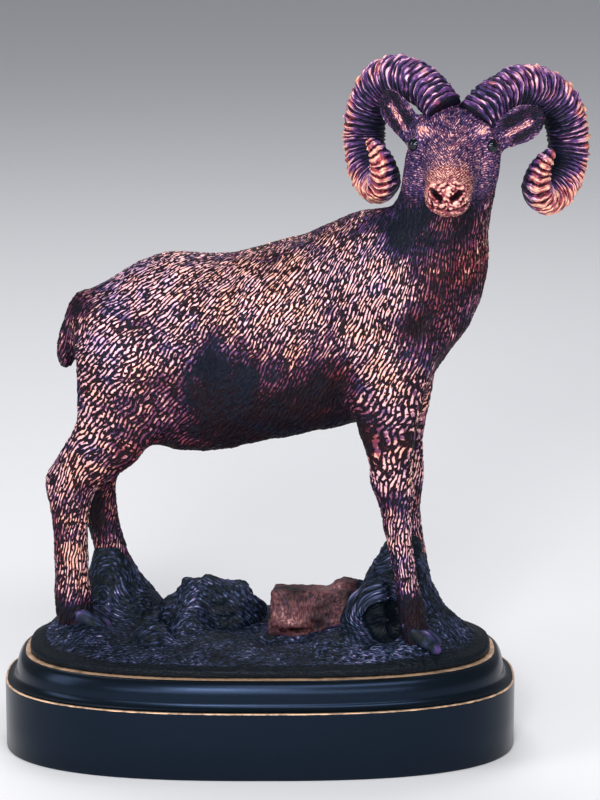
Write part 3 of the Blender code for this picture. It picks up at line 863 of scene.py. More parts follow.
class Locks:
    """Carved strokes scattered evenly over a surface, each along the flow there."""

    def __init__(self, points, normals, flow, lock, seed, stray=0.12):
        self.half_length, self.half_width, self.height, self.apart_along, self.apart_across = lock
        chance = np.random.default_rng(seed)
        normals = unit(normals)
        points = points + np.cross(normals, chance.normal(0, 0.4, points.shape))
        order = chance.permutation(len(points))
        points, normals = points[order], normals[order]
        flow = flow(points)
        flow = unit(flow - normals * (flow * normals).sum(1)[:, None])
        turn = chance.normal(0, stray, len(points))[:, None]
        flow = flow * np.cos(turn) + np.cross(normals, flow) * np.sin(turn)
        kept = self.spread_out(points, normals, flow)
        self.places, self.flow = points[kept], flow[kept]
        self.length = chance.uniform(0.75, 1.25, len(kept))
        self.lift = chance.uniform(0.7, 1.0, len(kept))
        self.gleam = chance.uniform(0.45, 1.0, len(kept))
        self.bend = chance.normal(0, 0.3, len(kept))

    def spread_out(self, points, normals, flow):
        """Keeps the places that aren't too near one that is already kept."""
        cell = self.apart_along
        across = np.cross(normals, flow)
        cells = {}
        kept = []
        rows = zip(points.tolist(), flow.tolist(), across.tolist())
        for index, ((x, y, z), (fx, fy, fz), (ax, ay, az)) in enumerate(rows):
            i, j, k = int(x // cell), int(y // cell), int(z // cell)
            if self.is_free(cells, (i, j, k), (x, y, z), (fx, fy, fz), (ax, ay, az)):
                cells.setdefault((i, j, k), []).append((x, y, z))
                kept.append(index)
        return kept

    def is_free(self, cells, key, point, flow, across):
        i, j, k = key
        x, y, z = point
        for di in (-1, 0, 1):
            for dj in (-1, 0, 1):
                for dk in (-1, 0, 1):
                    for px, py, pz in cells.get((i + di, j + dj, k + dk), ()):
                        dx, dy, dz = px - x, py - y, pz - z
                        far = (dx * flow[0] + dy * flow[1] + dz * flow[2]) / self.apart_along
                        off = (dx * across[0] + dy * across[1] + dz * across[2]) / self.apart_across
                        if far * far + off * off < 1 and dx * dx + dy * dy + dz * dz < self.apart_along**2:
                            return False
        return True

    def carve(self, points, normals):
        """Height and gleam of the locks at each point, both from 0 in the valleys to 1."""
        tree = tree_of(self.places)
        near = np.array([[i for _, i, _ in tree.find_n(p, LOCK_NEIGHBOURS)] for p in points])
        height = np.zeros(len(points))
        gleam = np.zeros(len(points))
        for column in near.T:
            away = points - self.places[column]
            flow = self.flow[column]
            along = (away * flow).sum(1) / (self.half_length * self.length[column])
            side = (away * np.cross(normals, flow)).sum(1) / self.half_width
            side = side + self.bend[column] * (along * along - 0.3)
            inside = np.clip(1 - along * along, 0, 1)
            width = np.clip(1 + along, 0, 2) ** 0.25 * np.clip(1 - along, 0, 2) ** 0.6 + 1e-6
            ridge = np.clip(1 - (side / width) ** 2, 0, 1) * np.clip(inside * 4, 0, 1)
            ridge = ridge * (0.75 + 0.25 * along) * self.lift[column]
            higher = ridge > height
            height[higher] = ridge[higher]
            gleam[higher] = (ridge * self.gleam[column])[higher]
        return height, gleam


def hollows(points):
    """How far the surface is pressed in or raised at the folds between the muscles."""
    local = in_ram_frame(points)
    flank = np.clip(np.abs(local[:, 1]) / 7.0 - 0.4, 0, 1)
    change = np.zeros(len(points))
    for start, end, reach, depth in FOLDS:
        away = slit(local[:, 0], local[:, 2], start, end)
        change += depth * np.exp(-((away / reach) ** 2))
    return change * flank


def blobs(rows, everywhere, along, height):
    """A value that is the same everywhere, raised or lowered round each row's place."""
    value = np.full(len(along), everywhere)
    for x, z, reach, amount in rows:
        value += amount * np.exp(-((along - x) ** 2 + (height - z) ** 2) / reach**2)
    return value


def cloud(points, length, seed=0.0):
    """Slow noise over the points, about -1 to 1."""
    return np.array([noise.noise(Vector(p) / length + Vector((seed, seed, 0))) for p in points])


def coat_paint(points, normals):
    """Rub and warmth of the body's patina, with painted light and shade in the rub. The far legs are painted
    in shade, with a painted highlight down their fronts; the near legs are painted lighter on the sides that
    face the light; the underside of the belly is painted in shade; and every leg is dark near its foot.
    """
    along, side, height = in_ram_frame(points).T
    patch = cloud(points, 7.0)
    speckle = cloud(points, 2.6, 5.0)
    rub = blobs(COAT_RUB_AND_SHADE, RUB_EVERYWHERE, along, height) + 0.3 * patch + 0.14 * speckle
    warmth = blobs(COAT_WARMTH, WARM_EVERYWHERE, along, height)
    warmth += 0.45 * patch + 0.25 * cloud(points, 10.0, 31.0)
    front = normals @ np.array(ram_to_plinth().to_3x3() @ X)
    # Painted shade on the far legs, with a painted highlight where their fronts face the light
    far_leg = np.clip((102.0 - height) / 8.0, 0, 1) * (side > 0)
    rub += far_leg * (0.4 * np.clip(front * 2, 0, 1) - 0.42)
    # Painted highlight on the near legs, on the sides that face forward and towards -Y, where the light falls
    near_leg = np.clip((88.0 - height) / 8.0, 0, 1) * (side < 0)
    rub += near_leg * 0.28 * np.clip(front * 1.5 - normals[:, 1], 0, 1)
    foot = np.interp(along, (-40.0, 40.0), (49.0, 56.0)) + 3.0 * patch
    rub *= np.clip((height - foot) / 5.0 + 0.5, 0, 1)
    # Painted shade under the belly, on the surfaces that face down
    belly = np.clip(-normals[:, 2] * 1.6 - 0.5, 0, 1) * np.clip((height - 88.0) / 8.0, 0, 1)
    rub *= 1 - 0.8 * belly
    return rub, warmth


def cut_piece(source, name, cuts):
    """A copy of a skin, cut off flat by planes. Each cut keeps the side that its direction points to."""
    piece = add_object(name, source.data.copy())
    piece.data.name = name
    activate(piece)
    bpy.ops.object.mode_set(mode="EDIT")
    for point, direction in cuts:
        bpy.ops.mesh.select_all(action="SELECT")
        bpy.ops.mesh.bisect(
            plane_co=tuple(c * MM for c in point), plane_no=direction, use_fill=True, clear_inner=True
        )
        bpy.ops.mesh.mark_sharp()
    bpy.ops.object.mode_set(mode="OBJECT")
    return piece


def flipped(cut):
    point, direction = cut
    return point, tuple(-d for d in direction)


# Planes that part the ram into pieces, in millimetres: a point and the side that is kept in front
BEHIND_RIBS = ((-30.0, 0.0, 0.0), (1.0, 0.0, 0.0))
BEFORE_RIBS = ((26.0, 0.0, 0.0), (1.0, 0.0, 0.0))
NECK_ROOT = ((0.0, 0.0, 160.0), (0.0, 0.0, 1.0))


def head_cuts():
    """The head starts behind its ears and above its throat."""
    matrix = head_to_plinth()
    behind = (tuple(matrix @ Vector((-13.0, 0, 0))), tuple(matrix.to_3x3() @ X))
    below = (tuple(matrix @ Vector((0, -16.5, 0))), tuple(matrix.to_3x3() @ Y))
    return behind, below


def make_ram(coat_finish, face_finish):
    """Body and head, carved with locks from the same form so that they meet without a step."""
    form = ram_form()
    rough = Skin(form)
    clumps = 0.45 * cloud(rough.points, 5.0, 7.0) + 0.5 * cloud(rough.points, 10.0, 17.0)
    clumps *= np.interp(rough.points[:, 2], *zip(*CLUMP_HEIGHTS))
    change = hollows(rough.points) + clumps
    rough.points = rough.points + rough.normals() * change[:, None]
    rough.smooth(3)
    rough.write()
    normals = rough.normals()
    lay = Lay(rough, normals, coat_flow(rough.points), coat_mirror(rough.points))
    locks = Locks(rough.points, normals, coat_flow, COAT_LOCK, 4)
    coat = add_object("ram_coat", form.data.copy())
    one_skin(coat, COAT_VOXEL)
    skin = Skin(coat)
    skin.smooth(8)
    normals = skin.normals()
    height, gleam = locks.carve(skin.points, normals)
    skin.points = skin.points + normals * ((height - 0.5) * COAT_LOCK[2])[:, None]
    skin.write()
    rub, warmth = coat_paint(skin.points, normals)
    skin.paint(lock=gleam, rub=rub, warmth=warmth, hairy=1)
    skin.lay(lay.over(skin.points, in_ram_frame(skin.points)[:, 1]))
    behind, below = head_cuts()
    pieces = [
        cut_piece(coat, "ram_hindquarters", [flipped(BEHIND_RIBS)]),
        cut_piece(coat, "ram_ribs", [BEHIND_RIBS, flipped(BEFORE_RIBS)]),
        cut_piece(coat, "ram_forequarters", [BEFORE_RIBS, flipped(NECK_ROOT)]),
        cut_piece(coat, "ram_nape", [BEFORE_RIBS, NECK_ROOT, flipped(behind)]),
        cut_piece(coat, "ram_throat", [BEFORE_RIBS, NECK_ROOT, behind, flipped(below)]),
    ]
    for piece in pieces:
        finish_piece(piece, "ram_casting", coat_finish)
    make_head(form, locks, face_finish)
    bpy.data.objects.remove(coat)
    bpy.data.objects.remove(form)


# Horns


def horn_centre(share):
    """A point of the horn's middle line in the head's frame, from 0 at the root to 1 at the tip."""
    normal = Vector((math.sin(HORN_FLARE), math.sin(HORN_ROLL), math.cos(HORN_FLARE) * math.cos(HORN_ROLL)))
    normal.normalize()
    forward = (X - normal * normal.x).normalized()
    up = normal.cross(forward)
    if up.y < 0:
        up.negate()
    turn = HORN_START + HORN_SWEEP * share
    radius = HORN_COIL_RADIUS * math.exp(-HORN_COIL_DECAY * share)
    spread = HORN_SPREAD * share - HORN_GATHER * share**2
    centre = Vector(HORN_COIL_CENTRE) + normal * spread
    return centre + forward * radius * math.cos(turn) * HORN_SQUASH + up * radius * math.sin(turn)


def horn_radius(share):
    """Mean radius of the horn, without its ridges."""
    return HORN_TIP_RADIUS + (HORN_BASE_RADIUS - HORN_TIP_RADIUS) * (1 - share**HORN_TAPER)


def horn_rings(seed):
    """Where each growth ridge starts, unevenly spaced from root to tip."""
    chance = random.Random(seed)
    widths = [chance.uniform(0.6, 1.4) for _ in range(HORN_RIDGES)]
    starts = np.concatenate(([0.0], np.cumsum(widths)))
    return starts / starts[-1]


def horn_share(length):
    """The share of the horn's turns that is done at this share of its length."""
    return -math.log(1 - length * (1 - math.exp(-HORN_COIL_DECAY))) / HORN_COIL_DECAY


def horn_relief(rings, c, s, side, length, share):
    """How far a horn's skin stands out at a place, how it gleams, and how far its rings wander there."""
    round_it = Vector((c, s, side * 3.0))
    wander = (0.007 - 0.003 * length) * noise.noise(round_it * 1.4 + Z * length * 14)
    wander += 0.0025 * noise.noise(round_it * 4.0 + Z * length * 50)
    placed = min(max((length + 0.06) / 1.06 + wander, 0.0), 0.9999)
    ring = int(np.searchsorted(rings, placed, side="right")) - 1
    within = (placed - rings[ring]) / (rings[ring + 1] - rings[ring])
    crest = (1 - abs(2 * within - 1)) ** 1.2
    depth = 0.6 + 1.1 * noise.noise(round_it * 2.4 + Z * ring * 3.7)
    depth = min(max(depth, 0.05), 1.1)
    knobs = noise.noise(round_it * 7.0 + Z * length * 70)
    rim = 0.7 + 0.6 * max(c, 0) ** 2
    thin = 1 - 0.45 * share
    ridge = crest * (0.3 + 0.7 * depth) * rim * HORN_RIDGE_DEPTH * 2
    return (ridge + 0.16 * knobs) * thin - 0.35, crest * (0.55 + 0.6 * depth) + 0.15 * knobs, wander


def horn_rub(c, share):
    """How bare a horn is rubbed: most on its outer edge and its tip, least at its root, and darker on its
    inner side, where shade is painted.
    """
    worn = float(np.interp(share, *zip(*HORN_WEAR)))
    tip = max(share - 0.8, 0) / 0.2
    # Painted shade: the min(c, 0) term darkens the horn's inner side
    return 0.36 + 0.85 * worn * max(c + 0.1, 0) + 0.24 * min(c, 0) + 0.5 * tip


def make_horn(name, side, finish):
    """A curled horn with growth ridges round it that wander, split and break off."""
    shift = Vector(HORN_LEFT_SHIFT) if side > 0 else Vector()
    rings = horn_rings(11 + side)
    lock, rub, lay = [], [], []
    slices = []
    across = Vector((0, 0, 1))
    for i in range(-HORN_BURIED, HORN_STEPS + 1):
        length = i / HORN_STEPS
        share = horn_share(length)
        centre = horn_centre(share) + shift
        tangent = (horn_centre(share + 0.005) - horn_centre(share - 0.005)).normalized()
        across = (across - tangent * tangent.dot(across)).normalized()
        outward = tangent.cross(across)
        base = horn_radius(max(share, 0))
        loop = []
        for k in range(HORN_SIDES):
            turn = 2 * math.pi * k / HORN_SIDES
            c, s = rounded(turn, 2.2)
            height, gleam, wander = horn_relief(rings, c, s, side, length, share)
            radius = base + height
            point = centre + outward * radius * c + across * radius * HORN_FLATNESS * s
            loop.append(Vector((point.x, point.y, side * point.z)))
            lock.append(gleam)
            rub.append(horn_rub(c, share))
            lay.append(((length + wander) * HORN_LENGTH, base * math.atan2(s, c), 0.0))
        slices.append(loop)
    mesh = bmesh.new()
    loft(mesh, slices)
    place(mesh, mesh.verts, head_to_plinth())
    horn = new_object(name, mesh)
    skin = Skin(horn)
    patch = cloud(skin.points, 6.0, 3.0)
    rub = np.array(rub) + 0.22 * patch
    skin.paint(lock=np.array(lock), rub=rub, warmth=rub - 0.25 + 0.35 * patch, hairy=1)
    skin.lay(lay)
    finish_piece(horn, "ram_casting", finish)


# Face


def carve_face(skin, normals):
    """Nostrils, mouth, eyelids and brows, pressed in or raised along the surface."""
    local = in_head_frame(skin.points)
    f, u, s = local.T
    off = np.abs(s)
    lift = np.zeros(len(local))
    front = 1 / (1 + np.exp(-(f - 29.0) * 1.5))
    nostril = slit(off, u, *NOSTRIL)
    lift -= 2.0 * front * np.exp(-((nostril / 0.7) ** 2))
    lift += 0.45 * front * np.exp(-(((nostril - 1.4) / 0.7) ** 2))
    lift -= 0.5 * front * np.exp(-((s / 0.45) ** 2)) * ((u < -5.0) & (u > -10.0))
    mouth = over_mouth(off, u)
    lift -= 0.8 * np.exp(-((mouth / 0.45) ** 2)) / (1 + np.exp(-(f - 22.5) * 1.2))
    for side in (-1, 1):
        ring, near = round_eye(local, side)
        lift -= near * SOCKET[0] * np.exp(-((ring / SOCKET[1]) ** 4))
        for height, distance, width in EYELIDS:
            lift += near * height * np.exp(-(((ring - distance) / width) ** 2))
    skin.points = skin.points + normals * lift[:, None]


def round_eye(local, side):
    """How far each point lies from the middle of an eye, in almond-shaped rings, and whether it is near."""
    looks = np.array((EYE_LOOKS[0], EYE_LOOKS[1], side * EYE_LOOKS[2]))
    away = local - np.array((EYE_PLACE[0], EYE_PLACE[1], side * EYE_PLACE[2]))
    depth = away @ looks
    ring = np.linalg.norm((away - depth[:, None] * looks) * np.array((1.0, 1.35, 1.0)), axis=1)
    return ring, (depth > -1.0) & (np.linalg.norm(away, axis=1) < 7.0)


def slit(a, b, start, end):
    """How far each point lies from the line between two places."""
    start, end = np.array(start), np.array(end)
    along = end - start
    share = np.clip(((a - start[0]) * along[0] + (b - start[1]) * along[1]) / (along @ along), 0, 1)
    return np.hypot(a - start[0] - share * along[0], b - start[1] - share * along[1])


def over_mouth(off, up):
    """How far above the line of the mouth a place on the muzzle lies."""
    middle, rise, corner = MOUTH
    return up - (middle + rise * np.clip(off / corner, 0, 1) ** 1.5)


def bare_face(points):
    """Where the face has skin and no hair: the nose and lips."""
    f, u, s = in_head_frame(points).T
    return np.clip((f - 29.5) / 2.0, 0, 1) * np.clip((u + 11.5) / 1.0, 0, 1)


def crease_shade(points):
    """1 in the nostrils and between the lips, where shade is painted, and 0 away from them."""
    f, u, s = in_head_frame(points).T
    off = np.abs(s)
    nostril = np.exp(-((slit(off, u, *NOSTRIL) / 1.0) ** 4)) * (f > 27)
    mouth = np.exp(-((over_mouth(off, u) / 0.5) ** 2)) * np.clip((f - 22) / 2, 0, 1)
    return np.clip(nostril + 0.8 * mouth, 0, 1)


def spot(places, patch):
    """1 in the middle of a patch, fading out over its reach each way."""
    return np.exp(-sum(((place - middle) / reach) ** 2 for place, (middle, reach) in zip(places, patch)))


def face_paint(points, normals):
    """Rub and warmth of the head: a bright muzzle and brows, and a plum forehead with specks."""
    f, u, s = in_head_frame(points).T
    off = np.abs(s)
    muzzle = 1 / (1 + np.exp(-(f - 24.5 + 0.5 * off) * 0.7))
    brow = spot((off, u, f), BROW_PATCH)
    tear = spot((s, u, f), TEAR_PATCH)
    bridge = np.exp(-((off / 6.5) ** 2)) * np.clip((f + 4) / 14, 0, 1)
    patch = cloud(points, 4.0)
    speckle = cloud(points, 1.6, 3.0)
    rub = 0.43 + 0.26 * muzzle + 0.7 * brow + 0.6 * tear + 0.10 * bridge + 0.12 * patch + 0.14 * speckle
    warmth = 0.12 + 0.80 * muzzle + 0.7 * brow + 0.6 * tear + 0.35 * bridge + 0.2 * patch + 0.3 * speckle
    for side, root, ways, faces in EARS:
        along, faces, across = ear_axes(side, ways, faces)
        away = in_head_frame(points) - np.array((root[0], root[1], root[2] * side))
        reach, across_at = away @ np.array(along), away @ np.array(across)
        on_ear = np.clip((reach - 3.5) / 3.0, 0, 1) * (off > 11.5)
        turned = normals @ np.array(head_to_plinth().to_3x3()) @ np.array(faces)
        inside = on_ear * np.clip(turned * 3, 0, 1)
        streak = np.exp(-(((across_at + EAR_FOLD * side) / 0.9) ** 2)) * np.clip((15.5 - reach) / 3, 0, 1)
        rub = rub * (1 - inside) + inside * (0.16 + 0.95 * streak + 0.1 * patch)
        rub = rub + on_ear * (1 - inside) * 0.05 + on_ear * np.clip(np.abs(across_at) / 5.0 - 0.8, 0, 0.3)
        warmth = warmth * (1 - inside) + inside * (0.2 + 0.6 * streak)
    return rub, warmth


def cut_share(points, cuts, width):
    """0 on the cutting planes and outside them, rising to 1 this far inside."""
    share = np.ones(len(points))
    for point, direction in cuts:
        inside = (points - np.array(point)) @ np.array(direction)
        share = np.minimum(share, np.clip(inside / width, 0, 1))
    return share


def make_head(form, coat, finish):
    """The head, carved at a finer grain than the body and cut to meet the neck."""
    cuts = head_cuts()
    margin = [(tuple(Vector(point) - Vector(way) * 2.5), way) for point, way in cuts]
    rough = cut_piece(form, "ram_head_form", margin)
    skin = Skin(rough)
    normals = skin.normals()
    lay = Lay(skin, normals, face_flow(skin.points), face_mirror(skin.points, normals))
    one_skin(rough, FACE_VOXEL)
    skin = Skin(rough)
    skin.smooth(9)
    normals = skin.normals()
    share = cut_share(skin.points, cuts, 4.0)
    carve_face(skin, normals)
    skin.smooth(1)
    normals = skin.normals()
    picked = np.random.default_rng(5).permutation(len(skin.points))[:FACE_PLACES]
    locks = Locks(skin.points[picked], normals[picked], face_flow, FACE_LOCK, 6)
    height, gleam = locks.carve(skin.points, normals)
    coat_height, coat_gleam = coat.carve(skin.points, normals)
    bare = bare_face(skin.points)
    raised = (height - 0.5) * FACE_LOCK[2] * share * (1 - 0.8 * bare)
    nodules = cloud(skin.points, 1.0)
    raised += (coat_height - 0.5) * COAT_LOCK[2] * (1 - share) + 0.45 * nodules * bare
    skin.points = skin.points + normals * raised[:, None]
    skin.write()
    rub, warmth = face_paint(skin.points, normals)
    coat_rub, coat_warmth = coat_paint(skin.points, normals)
    pores = cloud(skin.points, 0.7, 2.0)
    shine = (0.25 + 0.75 * gleam) * (1 - bare) + 0.5 * bare
    # Painted shade in the nostrils and between the lips; the bare nose is mottled by its nodules and pores
    rub *= (1 - crease_shade(skin.points)) * (1 - bare * (0.42 - 0.9 * nodules - 0.6 * pores))
    skin.paint(
        lock=shine * share + coat_gleam * (1 - share),
        rub=rub * share + coat_rub * (1 - share),
        warmth=warmth * share + coat_warmth * (1 - share),
        hairy=1 - 0.9 * bare,
    )
    skin.lay(lay.over(skin.points, in_head_frame(skin.points)[:, 2] * 3))
    head = cut_piece(rough, "ram_head", cuts)
    bpy.data.objects.remove(rough)
    finish_piece(head, "ram_casting", finish)


def make_eyes(finish):
    """Two polished balls that sit behind the eyelids."""
    mesh = bmesh.new()
    for side in (-1, 1):
        looks = Vector((EYE_LOOKS[0], EYE_LOOKS[1], side * EYE_LOOKS[2]))
        centre = Vector((EYE_PLACE[0], EYE_PLACE[1], side * EYE_PLACE[2])) + looks * EYE_SHOWS
        ball(mesh, centre, EYEBALL_RADIUS, 32)
    place(mesh, mesh.verts, head_to_plinth())
    eyes = new_object("eyes", mesh)
    finish_piece(eyes, "ram_casting", finish)


def add_toe(mesh, front, side):
    """One pointed toe that slopes down to the ground."""
    down = X * math.cos(TOE_SLOPE) - Z * math.sin(TOE_SLOPE)
    up = X * math.sin(TOE_SLOPE) + Z * math.cos(TOE_SLOPE)
    tip = Vector((front, side, TOE_TIP_HEIGHT))
    slices = []
    for i in range(15):
        share = (i + 0.4) / 15
        bulge = math.sin(math.pi * share**0.8) ** 0.6
        centre = tip - down * TOE_LENGTH * share
        slices.append(outline(centre, up * TOE_HALF_HEIGHT * bulge, Y * TOE_HALF_WIDTH * bulge, 28, 2.0))
    loft(mesh, slices)


def make_hooves(finish):
    """Two smooth toes at the foot of each leg, painted lighter where they face the light."""
    mesh = bmesh.new()
    for side in (-1, 1):
        for front in (HIND_HOOF_FRONT + (FAR_HIND_HOOF_STEP if side > 0 else 0), FORE_HOOF_FRONT):
            for toe in (-1, 1):
                add_toe(mesh, front, side * LEG_SPREAD + toe * TOE_SPREAD)
    place(mesh, mesh.verts, ram_to_plinth())
    hooves = new_object("hooves", mesh)
    one_skin(hooves, HOOF_VOXEL)
    skin = Skin(hooves)
    skin.smooth(5)
    wear = cloud(skin.points, 3.0)
    skin.points = skin.points + skin.normals() * (0.25 * wear)[:, None]
    normals = skin.normals()
    # Painted sheen: the toes are lighter where they face up and towards -Y, where the light falls
    raised = np.clip(normals[:, 2] * 0.7 - normals[:, 1] * 0.5, 0, 1)
    bright = 0.22 + 0.42 * raised + 0.3 * wear
    skin.paint(lock=bright, rub=0.28 + 0.2 * wear, warmth=0.12 + 0.3 * wear, hairy=1)
    skin.lay(skin.points[:, [1, 0, 2]])
    finish_piece(hooves, "ram_casting", finish)


# Ground


def ground_height(x, y, share):
    """Height of the soil at a place, where share runs from 0 at the middle to 1 at the rim."""
    lump = noise.noise(Vector((x, y, 0)) / GROUND_LUMP_LENGTH)
    height = GROUND_CROWN + GROUND_ROUGHNESS * lump
    for along, across, reach, rise in HUMPS:
        height += rise * math.exp(-((x - along) ** 2 + (y - across) ** 2) / reach**2)
    (along, across), (long, wide), depth = HOLLOW
    height -= depth * math.exp(-(((x - along) / long) ** 4) - ((y - across) / wide) ** 4)
    return GROUND_RIM_HEIGHT + (1 - share**8) * height


def add_block(mesh):
    """A squared stone with broken edges."""
    centre, half_sizes, (tilt, turn) = BLOCK
    made = bmesh.ops.create_cube(mesh, size=2)["verts"]
    bmesh.ops.scale(mesh, vec=half_sizes, verts=made)
    edges = {edge for vertex in made for edge in vertex.link_edges}
    worn = bmesh.ops.bevel(mesh, geom=list(edges), offset=BLOCK_EDGE, segments=3, profile=0.5, affect="EDGES")
    vertices = {vertex for face in worn["faces"] for vertex in face.verts}
    turned = Matrix.Rotation(math.radians(turn), 4, "Z") @ Matrix.Rotation(math.radians(tilt), 4, "X")
    place(mesh, list(vertices), Matrix.Translation(centre) @ turned)


def add_ground(mesh):
    """Soil that covers the plinth's top, with rocks on it and mounds at the far legs."""
    inset = PLINTH_MOULDING_INSET + GROUND_INSET
    half_length = PLINTH_LENGTH / 2 - inset
    half_width = PLINTH_WIDTH / 2 - inset
    slices = [outline(Z * FOOT, X * half_length, Y * half_width, GROUND_CORNERS, PLINTH_ROUNDNESS)]
    for i in range(GROUND_RINGS):
        share = 1 - i / GROUND_RINGS
        along, across = X * half_length * share, Y * half_width * share
        loop = outline(Vector(), along, across, GROUND_CORNERS, PLINTH_ROUNDNESS)
        slices.append([Vector((p.x, p.y, FOOT + ground_height(p.x, p.y, share))) for p in loop])
    loft(mesh, slices)
    before = set(mesh.verts)
    loft(mesh, level_slices(FORE_MOUND, 0, 0))
    loft(mesh, level_slices(HIND_MOUND, 0, 0))
    place(mesh, [v for v in mesh.verts if v not in before], ram_to_plinth())
    for centre, half_sizes, turn, seed in ROCKS:
        add_rock(mesh, centre, half_sizes, turn, seed)
    add_block(mesh)


def add_rock(mesh, centre, half_sizes, turn, seed):
    """The hull of points scattered on an ellipsoid, which gives a rock its flat faces."""
    chance = random.Random(seed)
    rock = bmesh.new()
    for _ in range(ROCK_CORNERS):
        direction = Vector([chance.gauss(0, 1) for _ in range(3)]).normalized()
        rock.verts.new([d * half for d, half in zip(direction, half_sizes)])
    bmesh.ops.convex_hull(rock, input=rock.verts)
    loose = [v for v in rock.verts if not v.link_faces]
    bmesh.ops.delete(rock, geom=loose, context="VERTS")
    placed = Matrix.Translation(centre) @ Matrix.Rotation(math.radians(turn), 4, "Z")
    bmesh.ops.transform(rock, matrix=placed, verts=rock.verts)
    data = bpy.data.meshes.new("rock")
    rock.to_mesh(data)
    rock.free()
    mesh.from_mesh(data)
    bpy.data.meshes.remove(data)


def on_block(points):
    """1 on the squared stone, and 0 away from it."""
    centre, half_sizes, _ = BLOCK
    gap = np.abs(points - np.array(centre)) / (np.array(half_sizes) + 1.6)
    return np.clip((1.02 - gap.max(axis=1)) / 0.05, 0, 1)


def burrow_rings(points):
    """Height of the ridges round the burrow, and how far inside its mouth each point lies."""
    away = (points[:, [0, 2]] - np.array(BURROW)) / np.array(BURROW_MOUTH)
    reach = (np.hypot(*away.T) - 1.0) * BURROW_MOUTH[0]
    near = (points[:, 1] < -6) & (points[:, 2] > 39.0)
    rings = np.clip(reach / 0.6, 0, 1) * np.clip((BURROW_RINGS * BURROW_RING_WIDTH - reach) / 1.5, 0, 1)
    ridge = (0.5 + 0.5 * np.cos(2 * math.pi * (reach / BURROW_RING_WIDTH - 0.5))) * rings
    return ridge * near, rings * near, np.clip(0.5 - reach / 1.5, 0, 1) * near


def pits(points):
    """A net of thin walls between small pits, from 0 in a pit to 1 on a wall."""
    near = []
    for point in points:
        distances, _ = noise.voronoi(Vector(point) / PITS_LENGTH)
        near.append(distances[1] - distances[0])
    return 1 - np.clip(np.array(near) / 0.35, 0, 1)


def between(value, low, high, blend):
    """1 between two limits and 0 outside them, blended inwards."""
    return np.clip((value - low) / blend, 0, 1) * np.clip((high - value) / blend, 0, 1)


def pitted_walls(points, netted):
    """The pits' walls, worked out only where the ground is pitted."""
    walls = np.zeros(len(points))
    walls[netted > 0] = pits(points[netted > 0])
    return walls * netted


def inside_rim(x, y):
    """0 at the ground's rim, rising to 1 just inside it."""
    inset = PLINTH_MOULDING_INSET + GROUND_INSET
    reach = (np.abs(x) / (PLINTH_LENGTH / 2 - inset)) ** PLINTH_ROUNDNESS
    reach += (np.abs(y) / (PLINTH_WIDTH / 2 - inset)) ** PLINTH_ROUNDNESS
    return np.clip((0.955 - reach ** (1 / PLINTH_ROUNDNESS)) / 0.03, 0, 1)


def ground_lay(skin, normals, rings, block):
    """Places counted over the ground, round the burrow where its rings are, and finer on the block."""
    x, y, z = skin.points.T
    away = skin.points[:, [0, 2]] - np.array(BURROW)
    round_burrow = unit(np.stack((-away[:, 1], np.zeros(len(x)), away[:, 0]), axis=1))
    flow = np.where(rings[:, None] > 0.1, round_burrow, ground_flow(skin.points))
    across, along = Lay(skin, normals, flow, np.where(z < FOOT + 0.3, -1.0, 1.0)).rows
    return np.stack((across[1], along[1], y), axis=1) * (1 + 1.6 * block)[:, None]


def make_ground(finish):
    """The soil, carved with grass, and its rocks, block, burrow and pitted patch, with painted shade inside
    the burrow's mouth.
    """
    mesh = bmesh.new()
    add_ground(mesh)
    ground = new_object("ground", mesh)
    one_skin(ground, GROUND_VOXEL)
    skin = Skin(ground)
    skin.smooth(3)
    normals = skin.normals()
    x, y, z = skin.points.T
    block = on_block(skin.points)
    inside = inside_rim(x, y)
    ridge, rings, mouth = burrow_rings(skin.points)
    netted = between(x, *PITS_ALONG) * between(y, *PITS_ACROSS) * (normals[:, 2] > 0.3) * (1 - rings)
    walls = pitted_walls(skin.points, netted)
    lay = ground_lay(skin, normals, rings, block)
    picked = np.random.default_rng(2).permutation(len(skin.points))[:GRASS_PLACES]
    locks = Locks(skin.points[picked], normals[picked], ground_flow, GRASS_LOCK, 9, 0.45)
    height, gleam = locks.carve(skin.points, normals)
    grassy = inside * (1 - block) * (1 - rings) * (1 - mouth) * (1 - netted)
    crags = np.abs(cloud(skin.points, 5.0, 14.0)) * (z > FOOT + 8) * (1 - block)
    rough = 0.45 * cloud(skin.points, 2.4, 4.0) - 1.1 * crags
    lift = height * GRASS_LOCK[2] * grassy + 0.45 * ridge + 0.8 * walls - 2.6 * mouth
    lift += rough * (inside * 0.8 + block * 0.4)
    skin.points = skin.points + normals * lift[:, None]
    foot = skin.points[:, 2] < FOOT + 0.5
    skin.points[foot, 2] = FOOT
    skin.write()
    patch = cloud(skin.points, 9.0)
    grain = cloud(skin.points, 1.0, 9.0)
    lock = gleam * grassy + (0.55 + 0.6 * grain) * block + 0.8 * ridge + 0.9 * walls
    # Painted shade: the rub is taken away inside the burrow's mouth
    rub = (0.42 + 0.32 * patch) * inside * (1 - mouth) - 0.16 * block
    warmth = 0.10 * patch + block * 0.95
    skin.paint(lock=lock, rub=rub, warmth=warmth, hairy=1 - 0.85 * block)
    skin.lay(lay)
    finish_piece(ground, "ram_casting", finish)


# Plinth


